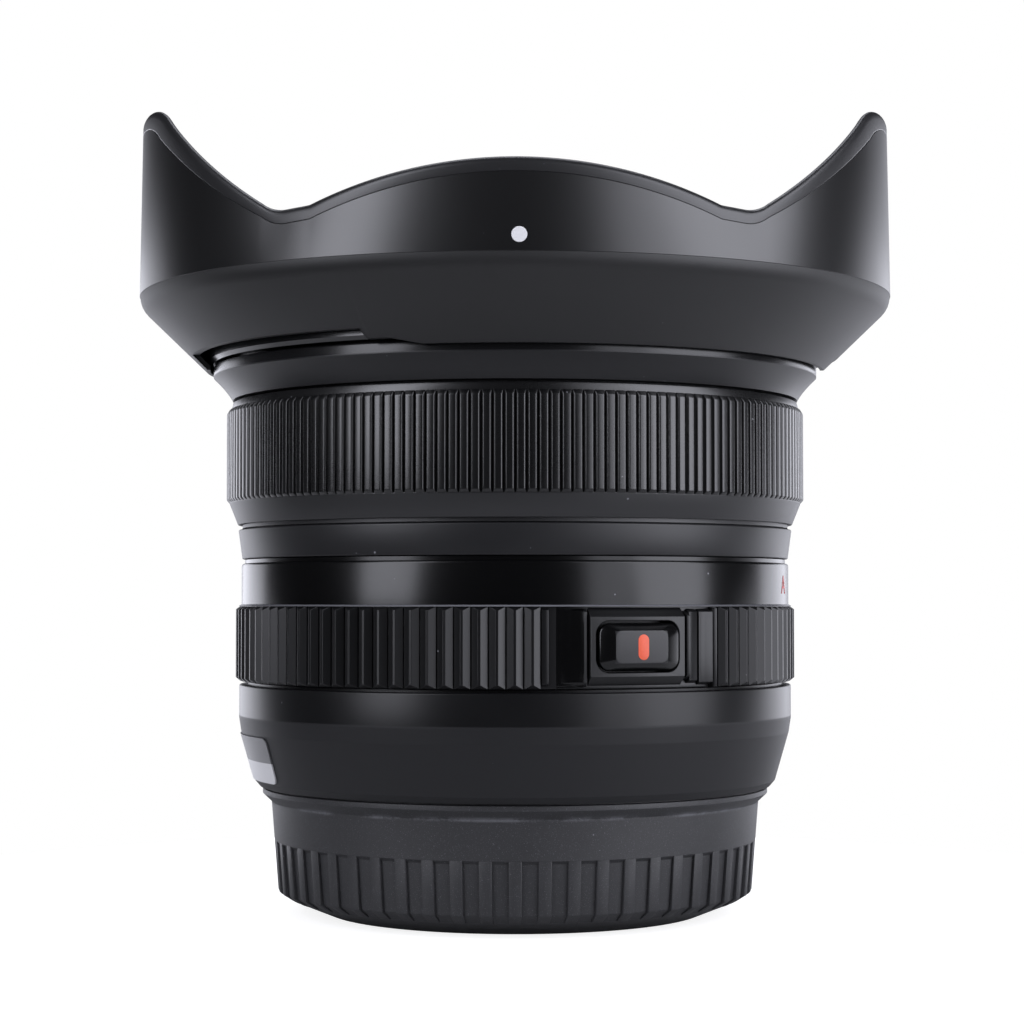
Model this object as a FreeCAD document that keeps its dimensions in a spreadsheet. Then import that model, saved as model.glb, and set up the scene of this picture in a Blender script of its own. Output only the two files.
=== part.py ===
"""Wide-angle prime lens standing on its rear cap, built as an assembly of separate pieces.

The frame's origin is the centre of the mount's flange face. +Z is the optical axis, towards the
front, and azimuths are counted from the side turned to the viewer (-Y) towards +X.
"""
import FreeCAD, Part
import math
import os
import re
import Sketcher
from FreeCAD import Placement, Rotation, Vector

SIZES = {
    # Mount flange, its bayonet tube and the screws through it
    "mount_radius": 28.4,
    "mount_thickness": 2.0,
    "throat_radius": 22.9,
    "throat_bore": 21.3,
    "throat_reach": 4.6,
    "lug_radius": 24.4,
    "lug_thickness": 1.3,
    "lug_gap": 1.7,
    "lug_span": 50,
    "mount_screws": 4,
    "mount_screw_circle": 26.0,
    "mount_screw_head": 1.25,
    "mount_screw_head_depth": 0.9,
    "mount_screw_shank": 0.55,
    "mount_screw_length": 6.2,
    "lock_pin_hole": 1.2,
    "lock_pin_hole_depth": 1.4,
    # Contact block and baffle in the throat
    "contact_block_bore": 16.8,
    "contact_block_depth": 1.5,
    "contact_block_span": 72,
    "contact_count": 10,
    "contact_circle": 19.1,
    "contact_radius": 0.55,
    "contact_height": 0.2,
    "contact_step": 6,
    "baffle_thickness": 1.0,
    "baffle_window_width": 18.5,
    "baffle_window_height": 13.5,
    # Rear cap
    "cap_clearance": 0.05,
    "cap_lip_radius": 28.6,
    "cap_lip_depth": 0.6,
    "cap_lip_slope": 0.95,
    "cap_radius": 27.6,
    "cap_bore": 25.4,
    "cap_depth": 14.1,
    "cap_floor": 2.5,
    "cap_draft": 0.08,
    "cap_chamfer_height": 2.46,
    "cap_chamfer_width": 1.12,
    "cap_bevel_height": 1.79,
    "cap_bevel_width": 4.37,
    "cap_lug_bore": 23.15,
    "cap_lug_clearance": 0.15,
    "cap_lug_span": 44,
    "cap_foot_radius": 19.4,
    "cap_foot_depth": 0.4,
    "cap_pads": 55,
    "cap_pad_share": 0.55,
    "cap_pad_depth": 0.4,
    "cap_pad_start": 5.85,
    # Rear barrel
    "barrel_setback": 0.15,
    "barrel_edge_width": 0.6,
    "barrel_edge_height": 0.7,
    "barrel_rear_radius": 29.5,
    "barrel_taper_radius": 31.05,
    "barrel_taper_length": 5.4,
    "barrel_blend_length": 1.65,
    "barrel_blend_radius": 6.5,
    "barrel_radius": 31.3,
    "barrel_length": 11.4,
    "barrel_front_edge": 0.2,
    "hub_radius": 30.3,
    "hub_rise": 0.25,
    "ledge_bore": 22.0,
    "ledge_thickness": 2.0,
    # Plain plate on the taper
    "label_span": 60,
    "label_setback": 0.2,
    "label_width": 5.0,
    "label_thickness": 0.15,
    "label_corner": 0.8,
    # Inner barrel, which carries the rings
    "frame_depth": 4.0,
    "sleeve_radius": 29.0,
    "sleeve_bore": 26.8,
    "journal_radius": 30.4,
    "turn_clearance": 0.15,
    "ring_play": 0.15,
    # Aperture ring
    "aperture_length": 13.15,
    "aperture_rib_radius": 31.7,
    "aperture_rib_setback": 0.35,
    "aperture_rib_length": 7.95,
    "aperture_band_radius": 31.07,
    "aperture_front_edge": 0.3,
    "aperture_ribs": 100,
    "aperture_rib_first": 40.9,
    "aperture_rib_span": 325.3,
    "aperture_flute_depth": 0.5,
    "aperture_flute_width": 0.95,
    # Lock button and the raised frame round it
    "button_azimuth": 23.7,
    "block_span": 17.6,
    "block_radius": 32.0,
    "block_length": 6.3,
    "block_slope_rear": 0.75,
    "block_slope_front": 0.95,
    "block_setback": 1.1,
    "scoop_span": 7.9,
    "scoop_radius": 31.2,
    "step_span": 7.5,
    "step_radius": 31.42,
    "ridge_span": 0.8,
    "ridge_radius": 31.95,
    "button_width": 9.1,
    "button_height": 4.9,
    "button_corner": 1.2,
    "button_face_width": 6.5,
    "button_face_height": 3.35,
    "button_face_corner": 0.35,
    "button_clearance": 0.2,
    "button_top": 32.6,
    "button_bevel": 0.95,
    "button_skirt": 0.5,
    "button_travel": 0.7,
    "window_room": 0.55,
    "stem_radius": 0.8,
    "stem_clearance": 0.15,
    "stem_tip": 28.95,
    "stem_head_radius": 1.2,
    "stem_head": 0.45,
    "stem_head_room": 0.3,
    "mark_width": 1.0,
    "mark_height": 2.5,
    "mark_depth": 0.25,
    "button_spring_radius": 1.5,
    "button_spring_wall": 0.3,
    "lock_groove_clearance": 0.2,
    "aperture_turn_back": 60,
    "aperture_turn_on": 17.5,
    # Click ball of the aperture ring
    "detent_azimuth": 200,
    "detent_ball": 0.75,
    "detent_clearance": 0.08,
    "detent_hole_clearance": 0.1,
    "detent_hole_depth": 1.9,
    "detent_spring_wall": 0.25,
    # Middle band
    "band_gap": 0.5,
    "band_length": 3.3,
    "band_rear_radius": 31.05,
    "band_front_radius": 31.45,
    "band_edge": 0.2,
    # Focus ring
    "focus_gap": 0.55,
    "focus_length": 13.75,
    "focus_foot_width": 0.45,
    "focus_rear_radius": 31.5,
    "focus_cone_radius": 32.5,
    "focus_cone_length": 2.6,
    "focus_rib_radius": 32.8,
    "focus_shoulder_length": 1.0,
    "focus_front_radius": 32.1,
    "focus_ribs": 176,
    "focus_flute_depth": 0.28,
    "focus_flute_width": 0.48,
    # Front barrel with its flare and the bayonet for the hood
    "head_gap": 0.3,
    "flare_rear_radius": 32.15,
    "flare_front_radius": 34.3,
    "flare_length": 2.75,
    "flare_edge": 0.15,
    "flare_curve": 7.0,
    "lip_height": 1.05,
    "lip_edge": 0.25,
    "neck_radius": 32.4,
    "neck_length": 1.8,
    "catch_radius": 33.4,
    "catch_thickness": 3.7,
    "catch_edge": 0.3,
    "filter_radius": 31.0,
    "filter_depth": 3.5,
    "cell_ledge_bore": 27.2,
    "cell_flange_radius": 30.4,
    "cell_flange_thickness": 0.8,
    "barrel_screws": 4,
    "barrel_screw_circle": 28.6,
    "barrel_screw_head": 1.1,
    "barrel_screw_head_depth": 0.9,
    "barrel_screw_shank": 0.6,
    "barrel_screw_length": 8.5,
    "trim_bore": 24.8,
    "trim_clearance": 0.1,
    "trim_thickness": 0.6,
    "trim_edge": 0.2,
    # Hood bayonet
    "hood_lugs": 3,
    "hood_lug_azimuth": 60,
    "hood_lug_span": 12,
    "hood_lug_bore": 32.6,
    "hood_lug_clearance": 0.25,
    "collar_gap": 0.3,
    "hood_slot_clearance": 1.0,
    "hood_turn": 55,
    "hood_stop_span": 3,
    # Petal hood: an outer shell round a liner that forms the rim
    "hood_overlap": 0.45,
    "skirt_radius": 35.1,
    "skirt_height": 7.2,
    "hood_root_radius": 42.6,
    "hood_rim_radius": 42.3,
    "hood_length": 27.65,
    "hood_corner": 2.5,
    "shell_thickness": 1.3,
    "collar_clearance": 0.15,
    "collar_radius": 34.7,
    "collar_chamfer": 0.4,
    "liner_thickness": 0.9,
    "liner_floor_drop": 0.35,
    "liner_bevel": 1.4,
    "rim_height": 1.25,
    # Petal outline, seen from the viewer's side
    "short_petal_height": 17.55,
    "short_petal_curve": 56.0,
    "valley_height": 13.42,
    "valley_inner": 20.6,
    "valley_outer": 23.2,
    "petal_foot_run": 2.4,
    "petal_foot_rise": 0.9,
    "petal_sweep": 46.0,
    "petal_shoulder": 36.7,
    "petal_shoulder_run": 3.9,
    "petal_shoulder_rise": 2.35,
    "petal_lean": 1.0,
    # Notches in the skirt, which free the catch of the bayonet
    "notch_azimuth": -52.5,
    "notch_span": 55,
    "notch_height": 1.6,
    "notch_step_span": 7,
    "notch_step_height": 0.65,
    "notch_spacing": 160,
    # Front cell and its elements
    "cell_radius": 26.4,
    "cell_step": 38.4,
    "cell_neck_radius": 19.0,
    "cell_skirt_bore": 17.5,
    "front_seat": 41.6,
    "front_retainer_bore": 22.8,
    "front_retainer_height": 1.8,
    "glass_clearance": 0.1,
    "retainer_height": 0.8,
    "retainer_lip": 1.2,
    "cell_spare": 1.2,
    "element_one_radius": 24.4,
    "element_one_edge": 3.5,
    "element_one_front": 75.0,
    "element_one_hollow": 18.5,
    "element_one_rear": 32.0,
    "second_seat": 36.0,
    "element_two_radius": 17.5,
    "element_two_edge": 2.2,
    "element_two_front": 60.0,
    "element_two_hollow": 12.0,
    "element_two_rear": 22.0,
    "third_seat": 31.5,
    "element_three_radius": 14.5,
    "element_three_edge": 2.1,
    "element_three_front": 30.0,
    "element_three_hollow": 12.0,
    "element_three_rear": 40.0,
    "element_four_radius": 12.4,
    "element_four_edge": 1.0,
    "element_four_front": 60.0,
    "element_four_rear": 45.0,
    "fourth_drop": 0.6,
    # Iris
    "iris_rear": 22.0,
    "iris_bore": 7.0,
    "iris_base_radius": 24.0,
    "iris_base_thickness": 1.0,
    "iris_posts": 4,
    "iris_post_circle": 18.6,
    "iris_post_radius": 0.8,
    "iris_cover_bore": 7.5,
    "iris_cover_radius": 20.0,
    "iris_cover_thickness": 0.9,
    "iris_cover_play": 0.2,
    "blade_count": 7,
    "blade_thickness": 0.08,
    "blade_level": 0.12,
    "blade_lift": 0.1,
    "blade_inner": 6.6,
    "blade_outer": 8.9,
    "blade_span": 104,
    "blade_swing": 34,
    "blade_pivot_circle": 9.5,
    "blade_eye": 1.25,
    "blade_tail": 2.2,
    "blade_tail_radius": 0.6,
    "blade_pin": 0.35,
    "blade_pin_clearance": 0.05,
    "blade_slot_clearance": 0.04,
    "blade_slot_spare": 0.15,
    "drive_ring_gap": 0.15,
    "drive_ring_bore": 10.6,
    "drive_ring_clearance": 0.1,
    "drive_ring_thickness": 0.8,
    "cover_collar_wall": 0.6,
    "gear_module": 0.5,
    "ring_teeth": 66,
    "sector_teeth": 9,
    "pinion_teeth": 10,
    "tooth_height": 0.4,
    "tooth_root": 0.55,
    "tooth_sink": 0.1,
    "tooth_tip_width": 0.3,
    "tooth_foot_width": 0.8,
    "pinion_azimuth": 225,
    "pinion_shaft": 0.5,
    "pinion_shaft_clearance": 0.1,
    "iris_motor_radius": 3.0,
    "iris_motor_length": 5.2,
    # Focus cell, its rods and its screw drive
    "frame_plate_lift": 2.0,
    "frame_plate_thickness": 1.5,
    "frame_rim": 1.8,
    "focus_cell_room": 1.0,
    "focus_cell_radius": 10.4,
    "focus_cell_length": 10.0,
    "focus_travel": 1.5,
    "focus_seat": 15.8,
    "focus_bore": 6.9,
    "element_five_radius": 8.0,
    "element_five_edge": 1.2,
    "element_five_front": 26.0,
    "element_five_rear": 30.0,
    "element_six_edge": 2.2,
    "focus_rear_seat": 14.0,
    "element_seven_radius": 9.0,
    "element_seven_edge": 1.4,
    "element_seven_front": 22.0,
    "element_seven_rear": 40.0,
    "element_eight_edge": 1.2,
    "element_eight_rear": 60.0,
    "rod_circle": 20.0,
    "rod_radius": 0.8,
    "rod_clearance": 0.05,
    "arm_station": 16.0,
    "arm_thickness": 1.6,
    "arm_width": 3.2,
    "arm_eye": 2.0,
    "screw_circle": 20.5,
    "lead_screw_radius": 0.6,
    "screw_clearance": 0.05,
    "nut_radius": 1.6,
    "nut_length": 3.0,
    "nut_arm_eye": 2.6,
    "focus_motor_radius": 4.0,
    "focus_motor_length": 5.5,
    # Rear cell and board
    "rear_cell_radius": 12.2,
    "rear_cell_flange_radius": 14.5,
    "rear_cell_flange_thickness": 1.2,
    "element_nine_radius": 11.0,
    "element_nine_station": 4.9,
    "element_nine_edge": 1.4,
    "element_nine_front": 50.0,
    "element_nine_rear": 28.0,
    "element_ten_edge": 3.0,
    "element_eleven_radius": 10.4,
    "element_eleven_edge": 1.5,
    "element_eleven_gap": 1.3,
    "element_eleven_front": 60.0,
    "element_eleven_rear": 35.0,
    "board_bore": 16.5,
    "board_radius": 24.6,
    "board_thickness": 1.0,
}

PLACES = {
    # Stations along the optical axis, from the camera's side to the front
    "lug_front": "0 - lug_gap",
    "lug_rear": "lug_front - lug_thickness",
    "throat_end": "0 - throat_reach",
    "cap_top": "0 - cap_clearance",
    "cap_bottom": "0 - cap_depth",
    "cap_inside": "cap_bottom + cap_floor",
    "cap_lip_end": "cap_top - cap_lip_depth - cap_lip_slope",
    "cap_chamfer": "cap_bottom + cap_chamfer_height",
    "cap_chamfer_radius": "cap_radius - cap_draft * (cap_lip_end - cap_chamfer)",
    "cap_bevel": "cap_bottom + cap_bevel_height",
    "cap_bevel_radius": "cap_chamfer_radius - cap_chamfer_width",
    "cap_bottom_radius": "cap_bevel_radius - cap_bevel_width",
    "cap_pad_top": "0 - cap_pad_start",
    "cap_pad_radius": "cap_radius - cap_draft * (cap_lip_end - cap_pad_top)",
    "ledge_front": "mount_thickness + ledge_thickness",
    "sleeve_rear": "ledge_front + frame_depth",
    "taper_rear": "barrel_setback + barrel_edge_height",
    "taper_front": "taper_rear + barrel_taper_length",
    "blend_front": "taper_front + barrel_blend_length",
    "barrel_front": "barrel_setback + barrel_length",
    "hub_front": "barrel_front + hub_rise",
    "label_rear": "taper_rear + label_setback",
    "label_front": "label_rear + label_width",
    "label_chord": "2 * barrel_rear_radius * sin(label_span / 2)",
    "aperture_rear": "hub_front + ring_play",
    "aperture_front": "aperture_rear + aperture_length",
    "aperture_bore": "sleeve_radius + turn_clearance",
    "rib_rear": "aperture_rear + aperture_rib_setback",
    "rib_front": "rib_rear + aperture_rib_length",
    "block_rear": "aperture_rear + block_setback",
    "block_front": "block_rear + block_length",
    "button_station": "(block_rear + block_front) / 2",
    "window_width": "button_width + 2 * button_clearance",
    "window_height": "button_height + 2 * button_clearance",
    "button_shoulder": "button_top - button_bevel",
    "button_rear": "button_shoulder - button_skirt",
    "window_floor": "button_rear - button_travel - window_room",
    "groove_floor": "stem_tip - button_travel - lock_groove_clearance",
    "band_rear": "aperture_front + band_gap",
    "band_front": "band_rear + band_length",
    "focus_rear": "band_front + focus_gap",
    "focus_foot": "band_front + ring_play",
    "focus_front": "focus_rear + focus_length",
    "focus_cone_end": "focus_rear + focus_cone_length",
    "focus_shoulder": "focus_front - focus_shoulder_length",
    "focus_ring_bore": "journal_radius + turn_clearance",
    "head_rear": "focus_front + head_gap",
    "flare_front": "head_rear + flare_length",
    "lip_front": "flare_front + lip_height",
    "catch_rear": "lip_front + neck_length",
    "head_front": "catch_rear + catch_thickness",
    "filter_floor": "head_front - filter_depth",
    "flange_front": "filter_floor - trim_thickness",
    "cell_ledge": "flange_front - cell_flange_thickness",
    "hood_rear": "lip_front - hood_overlap",
    "hood_corner_station": "hood_rear + skirt_height",
    "hood_front": "hood_rear + hood_length",
    "skirt_slope": "(hood_root_radius - skirt_radius) / skirt_height",
    "skirt_offset": "shell_thickness * sqrt(1 + skirt_slope * skirt_slope)",
    "wall_draft": "(hood_root_radius - hood_rim_radius) / (hood_front - hood_corner_station)",
    "shell_inner_root": "hood_root_radius - shell_thickness",
    "shell_inner_rim": "hood_rim_radius - shell_thickness",
    "shell_corner": "hood_rear + (shell_inner_root - skirt_radius + skirt_offset) / skirt_slope",
    "shell_foot": "hood_rear + (collar_radius - skirt_radius + skirt_offset) / skirt_slope",
    "collar_bore": "catch_radius + collar_clearance",
    "collar_rear": "lip_front + collar_gap",
    "inner_draft": "(shell_inner_root - shell_inner_rim) / (hood_front - shell_corner)",
    "liner_floor_rear": "shell_corner - liner_floor_drop",
    "liner_floor_top": "liner_floor_rear + liner_thickness",
    "liner_wall_start": "liner_floor_rear + liner_bevel",
    "liner_root": "shell_inner_root - liner_thickness",
    "liner_rim": "shell_inner_rim - liner_thickness",
    "hood_lug_front": "catch_rear - hood_lug_clearance",
    # Stations of the inner pieces
    "blade_rear": "iris_rear + iris_base_thickness + blade_lift",
    "blade_stack": "blade_level * (blade_count - 1) + blade_thickness",
    "drive_ring_rear": "blade_rear + blade_stack + drive_ring_gap",
    "drive_ring_front": "drive_ring_rear + drive_ring_thickness",
    "iris_cover_rear": "drive_ring_front + iris_cover_play",
    "iris_cover_front": "iris_cover_rear + iris_cover_thickness",
    "ring_pitch_radius": "gear_module * ring_teeth / 2",
    "pinion_pitch_radius": "gear_module * pinion_teeth / 2",
    "pinion_circle": "ring_pitch_radius + pinion_pitch_radius",
    "blade_pin_out": "blade_pivot_circle + blade_tail",
    "blade_pin_in": "blade_pivot_circle + blade_tail * cos(blade_swing / 2)",
    "drive_swing": "2 * atan(blade_tail * sin(blade_swing / 2) / blade_pin_in) / 1 deg",
    "frame_plate_rear": "ledge_front + frame_plate_lift",
    "frame_plate_front": "frame_plate_rear + frame_plate_thickness",
    "focus_cell_rear": "frame_plate_front + focus_travel + focus_cell_room",
    "focus_cell_front": "focus_cell_rear + focus_cell_length",
    "contact_rear": "throat_end + contact_height",
    "baffle_rear": "contact_rear + contact_block_depth",
    "baffle_front": "baffle_rear + baffle_thickness",
    "rear_shoulder": "element_nine_station - element_ten_edge",
    "element_eleven_rear_edge": "rear_shoulder - element_eleven_gap - element_eleven_edge",
    "fourth_rear": "third_seat - fourth_drop - element_four_edge",
    "focus_cement": "focus_seat + element_six_edge",
    "seven_crown": "sqrt(element_seven_front * element_seven_front - focus_bore * focus_bore)"
                   " - sqrt(element_seven_front * element_seven_front"
                   " - element_seven_radius * element_seven_radius)",
    "rear_cement": "focus_rear_seat - seven_crown - element_seven_edge",
    "motor_front": "frame_plate_front + focus_motor_length",
}


def spell(text):
    """Spell an expression out: places become their own expressions, sizes point at the sheet."""
    def full(match):
        word = match.group(0)
        if word in PLACES:
            return "(" + spell(PLACES[word]) + ")"
        return "Sizes." + word if word in SIZES else word
    return re.sub("[a-z][a-z_]*", full, str(text))


def value(text):
    """The number that an expression of sizes and places gives now."""
    return float(sheet.evalExpression(spell(text)))


document = FreeCAD.newDocument("wide_angle_lens")
sheet = document.addObject("Spreadsheet::Sheet", "Sizes")
for row, (alias, number) in enumerate(SIZES.items(), 1):
    sheet.set("A%d" % row, alias.replace("_", " "))
    sheet.set("B%d" % row, str(number))
    sheet.setAlias("B%d" % row, alias)
document.recompute()

pieces = []
volumes = {}


def new_body(name):
    """A sub-part of its own, with room for separate solids where a group shares one name."""
    body = document.addObject("PartDesign::Body", name)
    body.Label = name
    body.AllowCompound = True
    pieces.append(body)
    return body


def datum(body, role):
    """One of the body's own origin planes or axes."""
    return [item for item in body.Origin.OriginFeatures if item.Role == role][0]


def place_sketch(sketch, plane, turn, lift):
    """Swing an upright sketch about the optical axis, or turn a flat one, and lift it off its plane."""
    body = sketch.getParentGeoFeatureGroup()
    sketch.AttachmentSupport = (datum(body, plane), "")
    sketch.MapMode = "FlatFace"
    upright = plane == "XZ_Plane"
    axis = Vector(0, 1, 0) if upright else Vector(0, 0, 1)
    sketch.AttachmentOffset = Placement(Vector(0, 0, value(lift)), Rotation(axis, value(turn)))
    if value(turn):
        sketch.setExpression("AttachmentOffset.Rotation.Angle", spell(turn))
    if value(turn) and upright:
        sketch.setExpression("AttachmentOffset.Base.x", spell("(%s) * sin(%s)" % (lift, turn)))
        sketch.setExpression("AttachmentOffset.Base.z", spell("(%s) * cos(%s)" % (lift, turn)))
    else:
        sketch.setExpression("AttachmentOffset.Base.z", spell(lift))


def pin_point(sketch, item, end, across, along):
    """Hold a point of the sketch at a place given by two expressions."""
    for kind, axis, text in (("DistanceX", -2, across), ("DistanceY", -1, along)):
        if text == "0":
            sketch.addConstraint(Sketcher.Constraint("PointOnObject", item, end, axis))
        else:
            index = sketch.addConstraint(Sketcher.Constraint(kind, -1, 1, item, end, value(text)))
            sketch.setExpression("Constraints[%d]" % index, spell(text))


def outline(body, name, plane, corners, turn="0", lift="0"):
    """Closed outline of (across, along) corners; a third entry is the radius of the arc that
    leads on to the next corner, and a fourth says whether it turns left or right."""
    sketch = body.newObject("Sketcher::SketchObject", name)
    place_sketch(sketch, plane, turn, lift)
    points = [Vector(value(corner[0]), value(corner[1]), 0) for corner in corners]
    ends = []
    for index, corner in enumerate(corners):
        start = points[index]
        finish = points[(index + 1) % len(points)]
        if len(corner) == 2:
            sketch.addGeometry(Part.LineSegment(start, finish), False)
            ends.append((1, 2))
            continue
        left = corner[3] == "left"
        radius = value(corner[2])
        chord = finish - start
        across = Vector(-chord.y, chord.x, 0).normalize()
        reach = math.sqrt(radius ** 2 - (chord.Length / 2) ** 2)
        centre = (start + finish) * 0.5 + across * (reach if left else -reach)
        first, last = (start, finish) if left else (finish, start)
        angles = [math.atan2(point.y - centre.y, point.x - centre.x) for point in (first, last)]
        circle = Part.Circle(centre, Vector(0, 0, 1), radius)
        sketch.addGeometry(Part.ArcOfCircle(circle, angles[0], angles[1]), False)
        ends.append((1, 2) if left else (2, 1))
    for index in range(len(corners)):
        following = (index + 1) % len(corners)
        joint = Sketcher.Constraint("Coincident", index, ends[index][1], following, ends[following][0])
        sketch.addConstraint(joint)
    for index, corner in enumerate(corners):
        pin_point(sketch, index, ends[index][0], corner[0], corner[1])
        if len(corner) > 2:
            fixed = sketch.addConstraint(Sketcher.Constraint("Radius", index, value(corner[2])))
            sketch.setExpression("Constraints[%d]" % fixed, spell(corner[2]))
    return sketch


def circles(body, name, plane, rounds, turn="0", lift="0"):
    """Sketch of circles, each (across, along, radius); one inside another is a hole in it."""
    sketch = body.newObject("Sketcher::SketchObject", name)
    place_sketch(sketch, plane, turn, lift)
    for index, (across, along, radius) in enumerate(rounds):
        centre = Vector(value(across), value(along), 0)
        sketch.addGeometry(Part.Circle(centre, Vector(0, 0, 1), value(radius)), False)
        pin_point(sketch, index, 3, across, along)
        fixed = sketch.addConstraint(Sketcher.Constraint("Radius", index, value(radius)))
        sketch.setExpression("Constraints[%d]" % fixed, spell(radius))
    return sketch


def finish(body, feature, grows):
    """Recompute, and see that the feature really adds to or takes from the body."""
    document.recompute()
    change = body.Shape.Volume - volumes.get(body.Label, 0.0)
    volumes[body.Label] = body.Shape.Volume
    if change * (1 if grows else -1) <= 0:
        raise RuntimeError("%s of %s changes the volume by %.3f" % (feature.Name, body.Label, change))
    return feature


def revolve(body, sketch, span=None, cut=False):
    """Turn an upright outline about the optical axis, all round or evenly to both sides."""
    feature = body.newObject("PartDesign::" + ("Groove" if cut else "Revolution"), sketch.Name + "_turned")
    feature.Profile = sketch
    feature.ReferenceAxis = (sketch, ["V_Axis"])
    feature.Midplane = span is not None
    feature.Angle = 360 if span is None else value(span)
    if span is not None:
        feature.setExpression("Angle", spell(span))
    return finish(body, feature, not cut)


def extrude(body, sketch, length, cut=False, back=False, both=False):
    """Pad or pocket a sketch along its normal, against it, or evenly to both sides."""
    feature = body.newObject("PartDesign::" + ("Pocket" if cut else "Pad"), sketch.Name + "_drawn")
    feature.Profile = sketch
    feature.Length = value(length)
    feature.setExpression("Length", spell(length))
    feature.SideType = "Symmetric" if both else "One side"
    feature.Reversed = back
    return finish(body, feature, not cut)


def repeat(body, features, count, span="360", grows=True):
    """Repeat features about the optical axis."""
    feature = body.newObject("PartDesign::PolarPattern", features[0].Name + "_repeated")
    feature.Originals = features
    feature.Axis = (datum(body, "Z_Axis"), [""])
    feature.Angle = value(span)
    feature.setExpression("Angle", spell(span))
    feature.Occurrences = int(value(count))
    feature.setExpression("Occurrences", spell(count))
    body.Tip = feature
    return finish(body, feature, grows)


def round_edges(body, radius, wanted, chamfer=False):
    """Round or bevel the edges of the body that the test picks out."""
    names = ["Edge%d" % (number + 1) for number, edge in enumerate(body.Shape.Edges) if wanted(edge)]
    if not names:
        raise RuntimeError("no edge of %s fits the test" % body.Label)
    base = body.Tip
    kind = "Chamfer" if chamfer else "Fillet"
    feature = body.newObject("PartDesign::" + kind, body.Label + "_" + kind.lower())
    feature.Base = (base, names)
    size = "Size" if chamfer else "Radius"
    setattr(feature, size, value(radius))
    feature.setExpression(size, spell(radius))
    document.recompute()
    volumes[body.Label] = body.Shape.Volume
    return feature


def turned(name, corners):
    """A sub-part turned from one outline of (radius, station) corners."""
    body = new_body(name)
    revolve(body, outline(body, name + "_outline", "XZ_Plane", corners))
    return body


def rectangle(left, right, low, high):
    """Corners of a rectangle, anticlockwise."""
    return [(left, low), (right, low), (right, high), (left, high)]


def centred(width, height, along="0"):
    """Corners of a rectangle centred across the sketch."""
    half = "(%s) / 2" % width
    rise = "(%s) / 2" % height
    return rectangle("0 - %s" % half, half, "%s - %s" % (along, rise), "%s + %s" % (along, rise))


def radial(azimuth):
    """Turn of an upright plane whose first direction points out at the azimuth."""
    return "%s - 90" % azimuth


screw_turn = "180 / mount_screws"


def mount():
    """Metal flange with three bayonet lugs on its tube, and the screws through it."""
    body = turned("mount_flange", [
        ("throat_bore", "throat_end"),
        ("throat_radius", "throat_end"),
        ("throat_radius", "0"),
        ("mount_radius", "0"),
        ("mount_radius", "mount_thickness"),
        ("throat_bore", "mount_thickness"),
    ])
    lug = outline(body, "lug", "XZ_Plane", rectangle("throat_bore", "lug_radius", "lug_rear", "lug_front"))
    repeat(body, [revolve(body, lug, "lug_span")], "3")
    head = circles(body, "screw_seat", "XY_Plane", [("mount_screw_circle", "0", "mount_screw_head")],
                   screw_turn)
    shank = circles(body, "screw_hole", "XY_Plane", [("mount_screw_circle", "0", "mount_screw_shank")],
                    screw_turn)
    cuts = [
        extrude(body, head, "mount_screw_head_depth", cut=True, back=True),
        extrude(body, shank, "mount_thickness", cut=True, back=True),
    ]
    repeat(body, cuts, "mount_screws", grows=False)
    pin = circles(body, "lock_pin_hole", "XY_Plane", [("mount_screw_circle", "0", "lock_pin_hole")])
    extrude(body, pin, "lock_pin_hole_depth", cut=True, back=True)

    screws = new_body("mount_screws")
    head = circles(screws, "screw_head", "XY_Plane", [("mount_screw_circle", "0", "mount_screw_head")],
                   screw_turn)
    shank = circles(screws, "screw_shank", "XY_Plane", [("mount_screw_circle", "0", "mount_screw_shank")],
                    screw_turn, "mount_screw_head_depth")
    solids = [
        extrude(screws, head, "mount_screw_head_depth"),
        extrude(screws, shank, "mount_screw_length - mount_screw_head_depth"),
    ]
    repeat(screws, solids, "mount_screws")


def throat():
    """Baffle that closes the throat, with the contact block and its pins on the lower side."""
    body = new_body("rear_baffle")
    disc = circles(body, "disc", "XY_Plane", [("0", "0", "throat_bore")], "0", "baffle_rear")
    extrude(body, disc, "baffle_thickness")
    window = outline(body, "window", "XY_Plane", centred("baffle_window_width", "baffle_window_height"),
                     "0", "baffle_rear")
    extrude(body, window, "baffle_thickness", cut=True, back=True)

    body = new_body("contact_block")
    section = rectangle("contact_block_bore", "throat_bore", "contact_rear", "baffle_rear")
    revolve(body, outline(body, "block", "XZ_Plane", section, radial("270")), "contact_block_span")

    body = new_body("contact_pins")
    first = "180 - contact_step * (contact_count - 1) / 2"
    pin = circles(body, "pin", "XY_Plane", [("contact_circle", "0", "contact_radius")], first,
                  "throat_end")
    span = "contact_step * (contact_count - 1)"
    repeat(body, [extrude(body, pin, "contact_height")], "contact_count", span)


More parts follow.
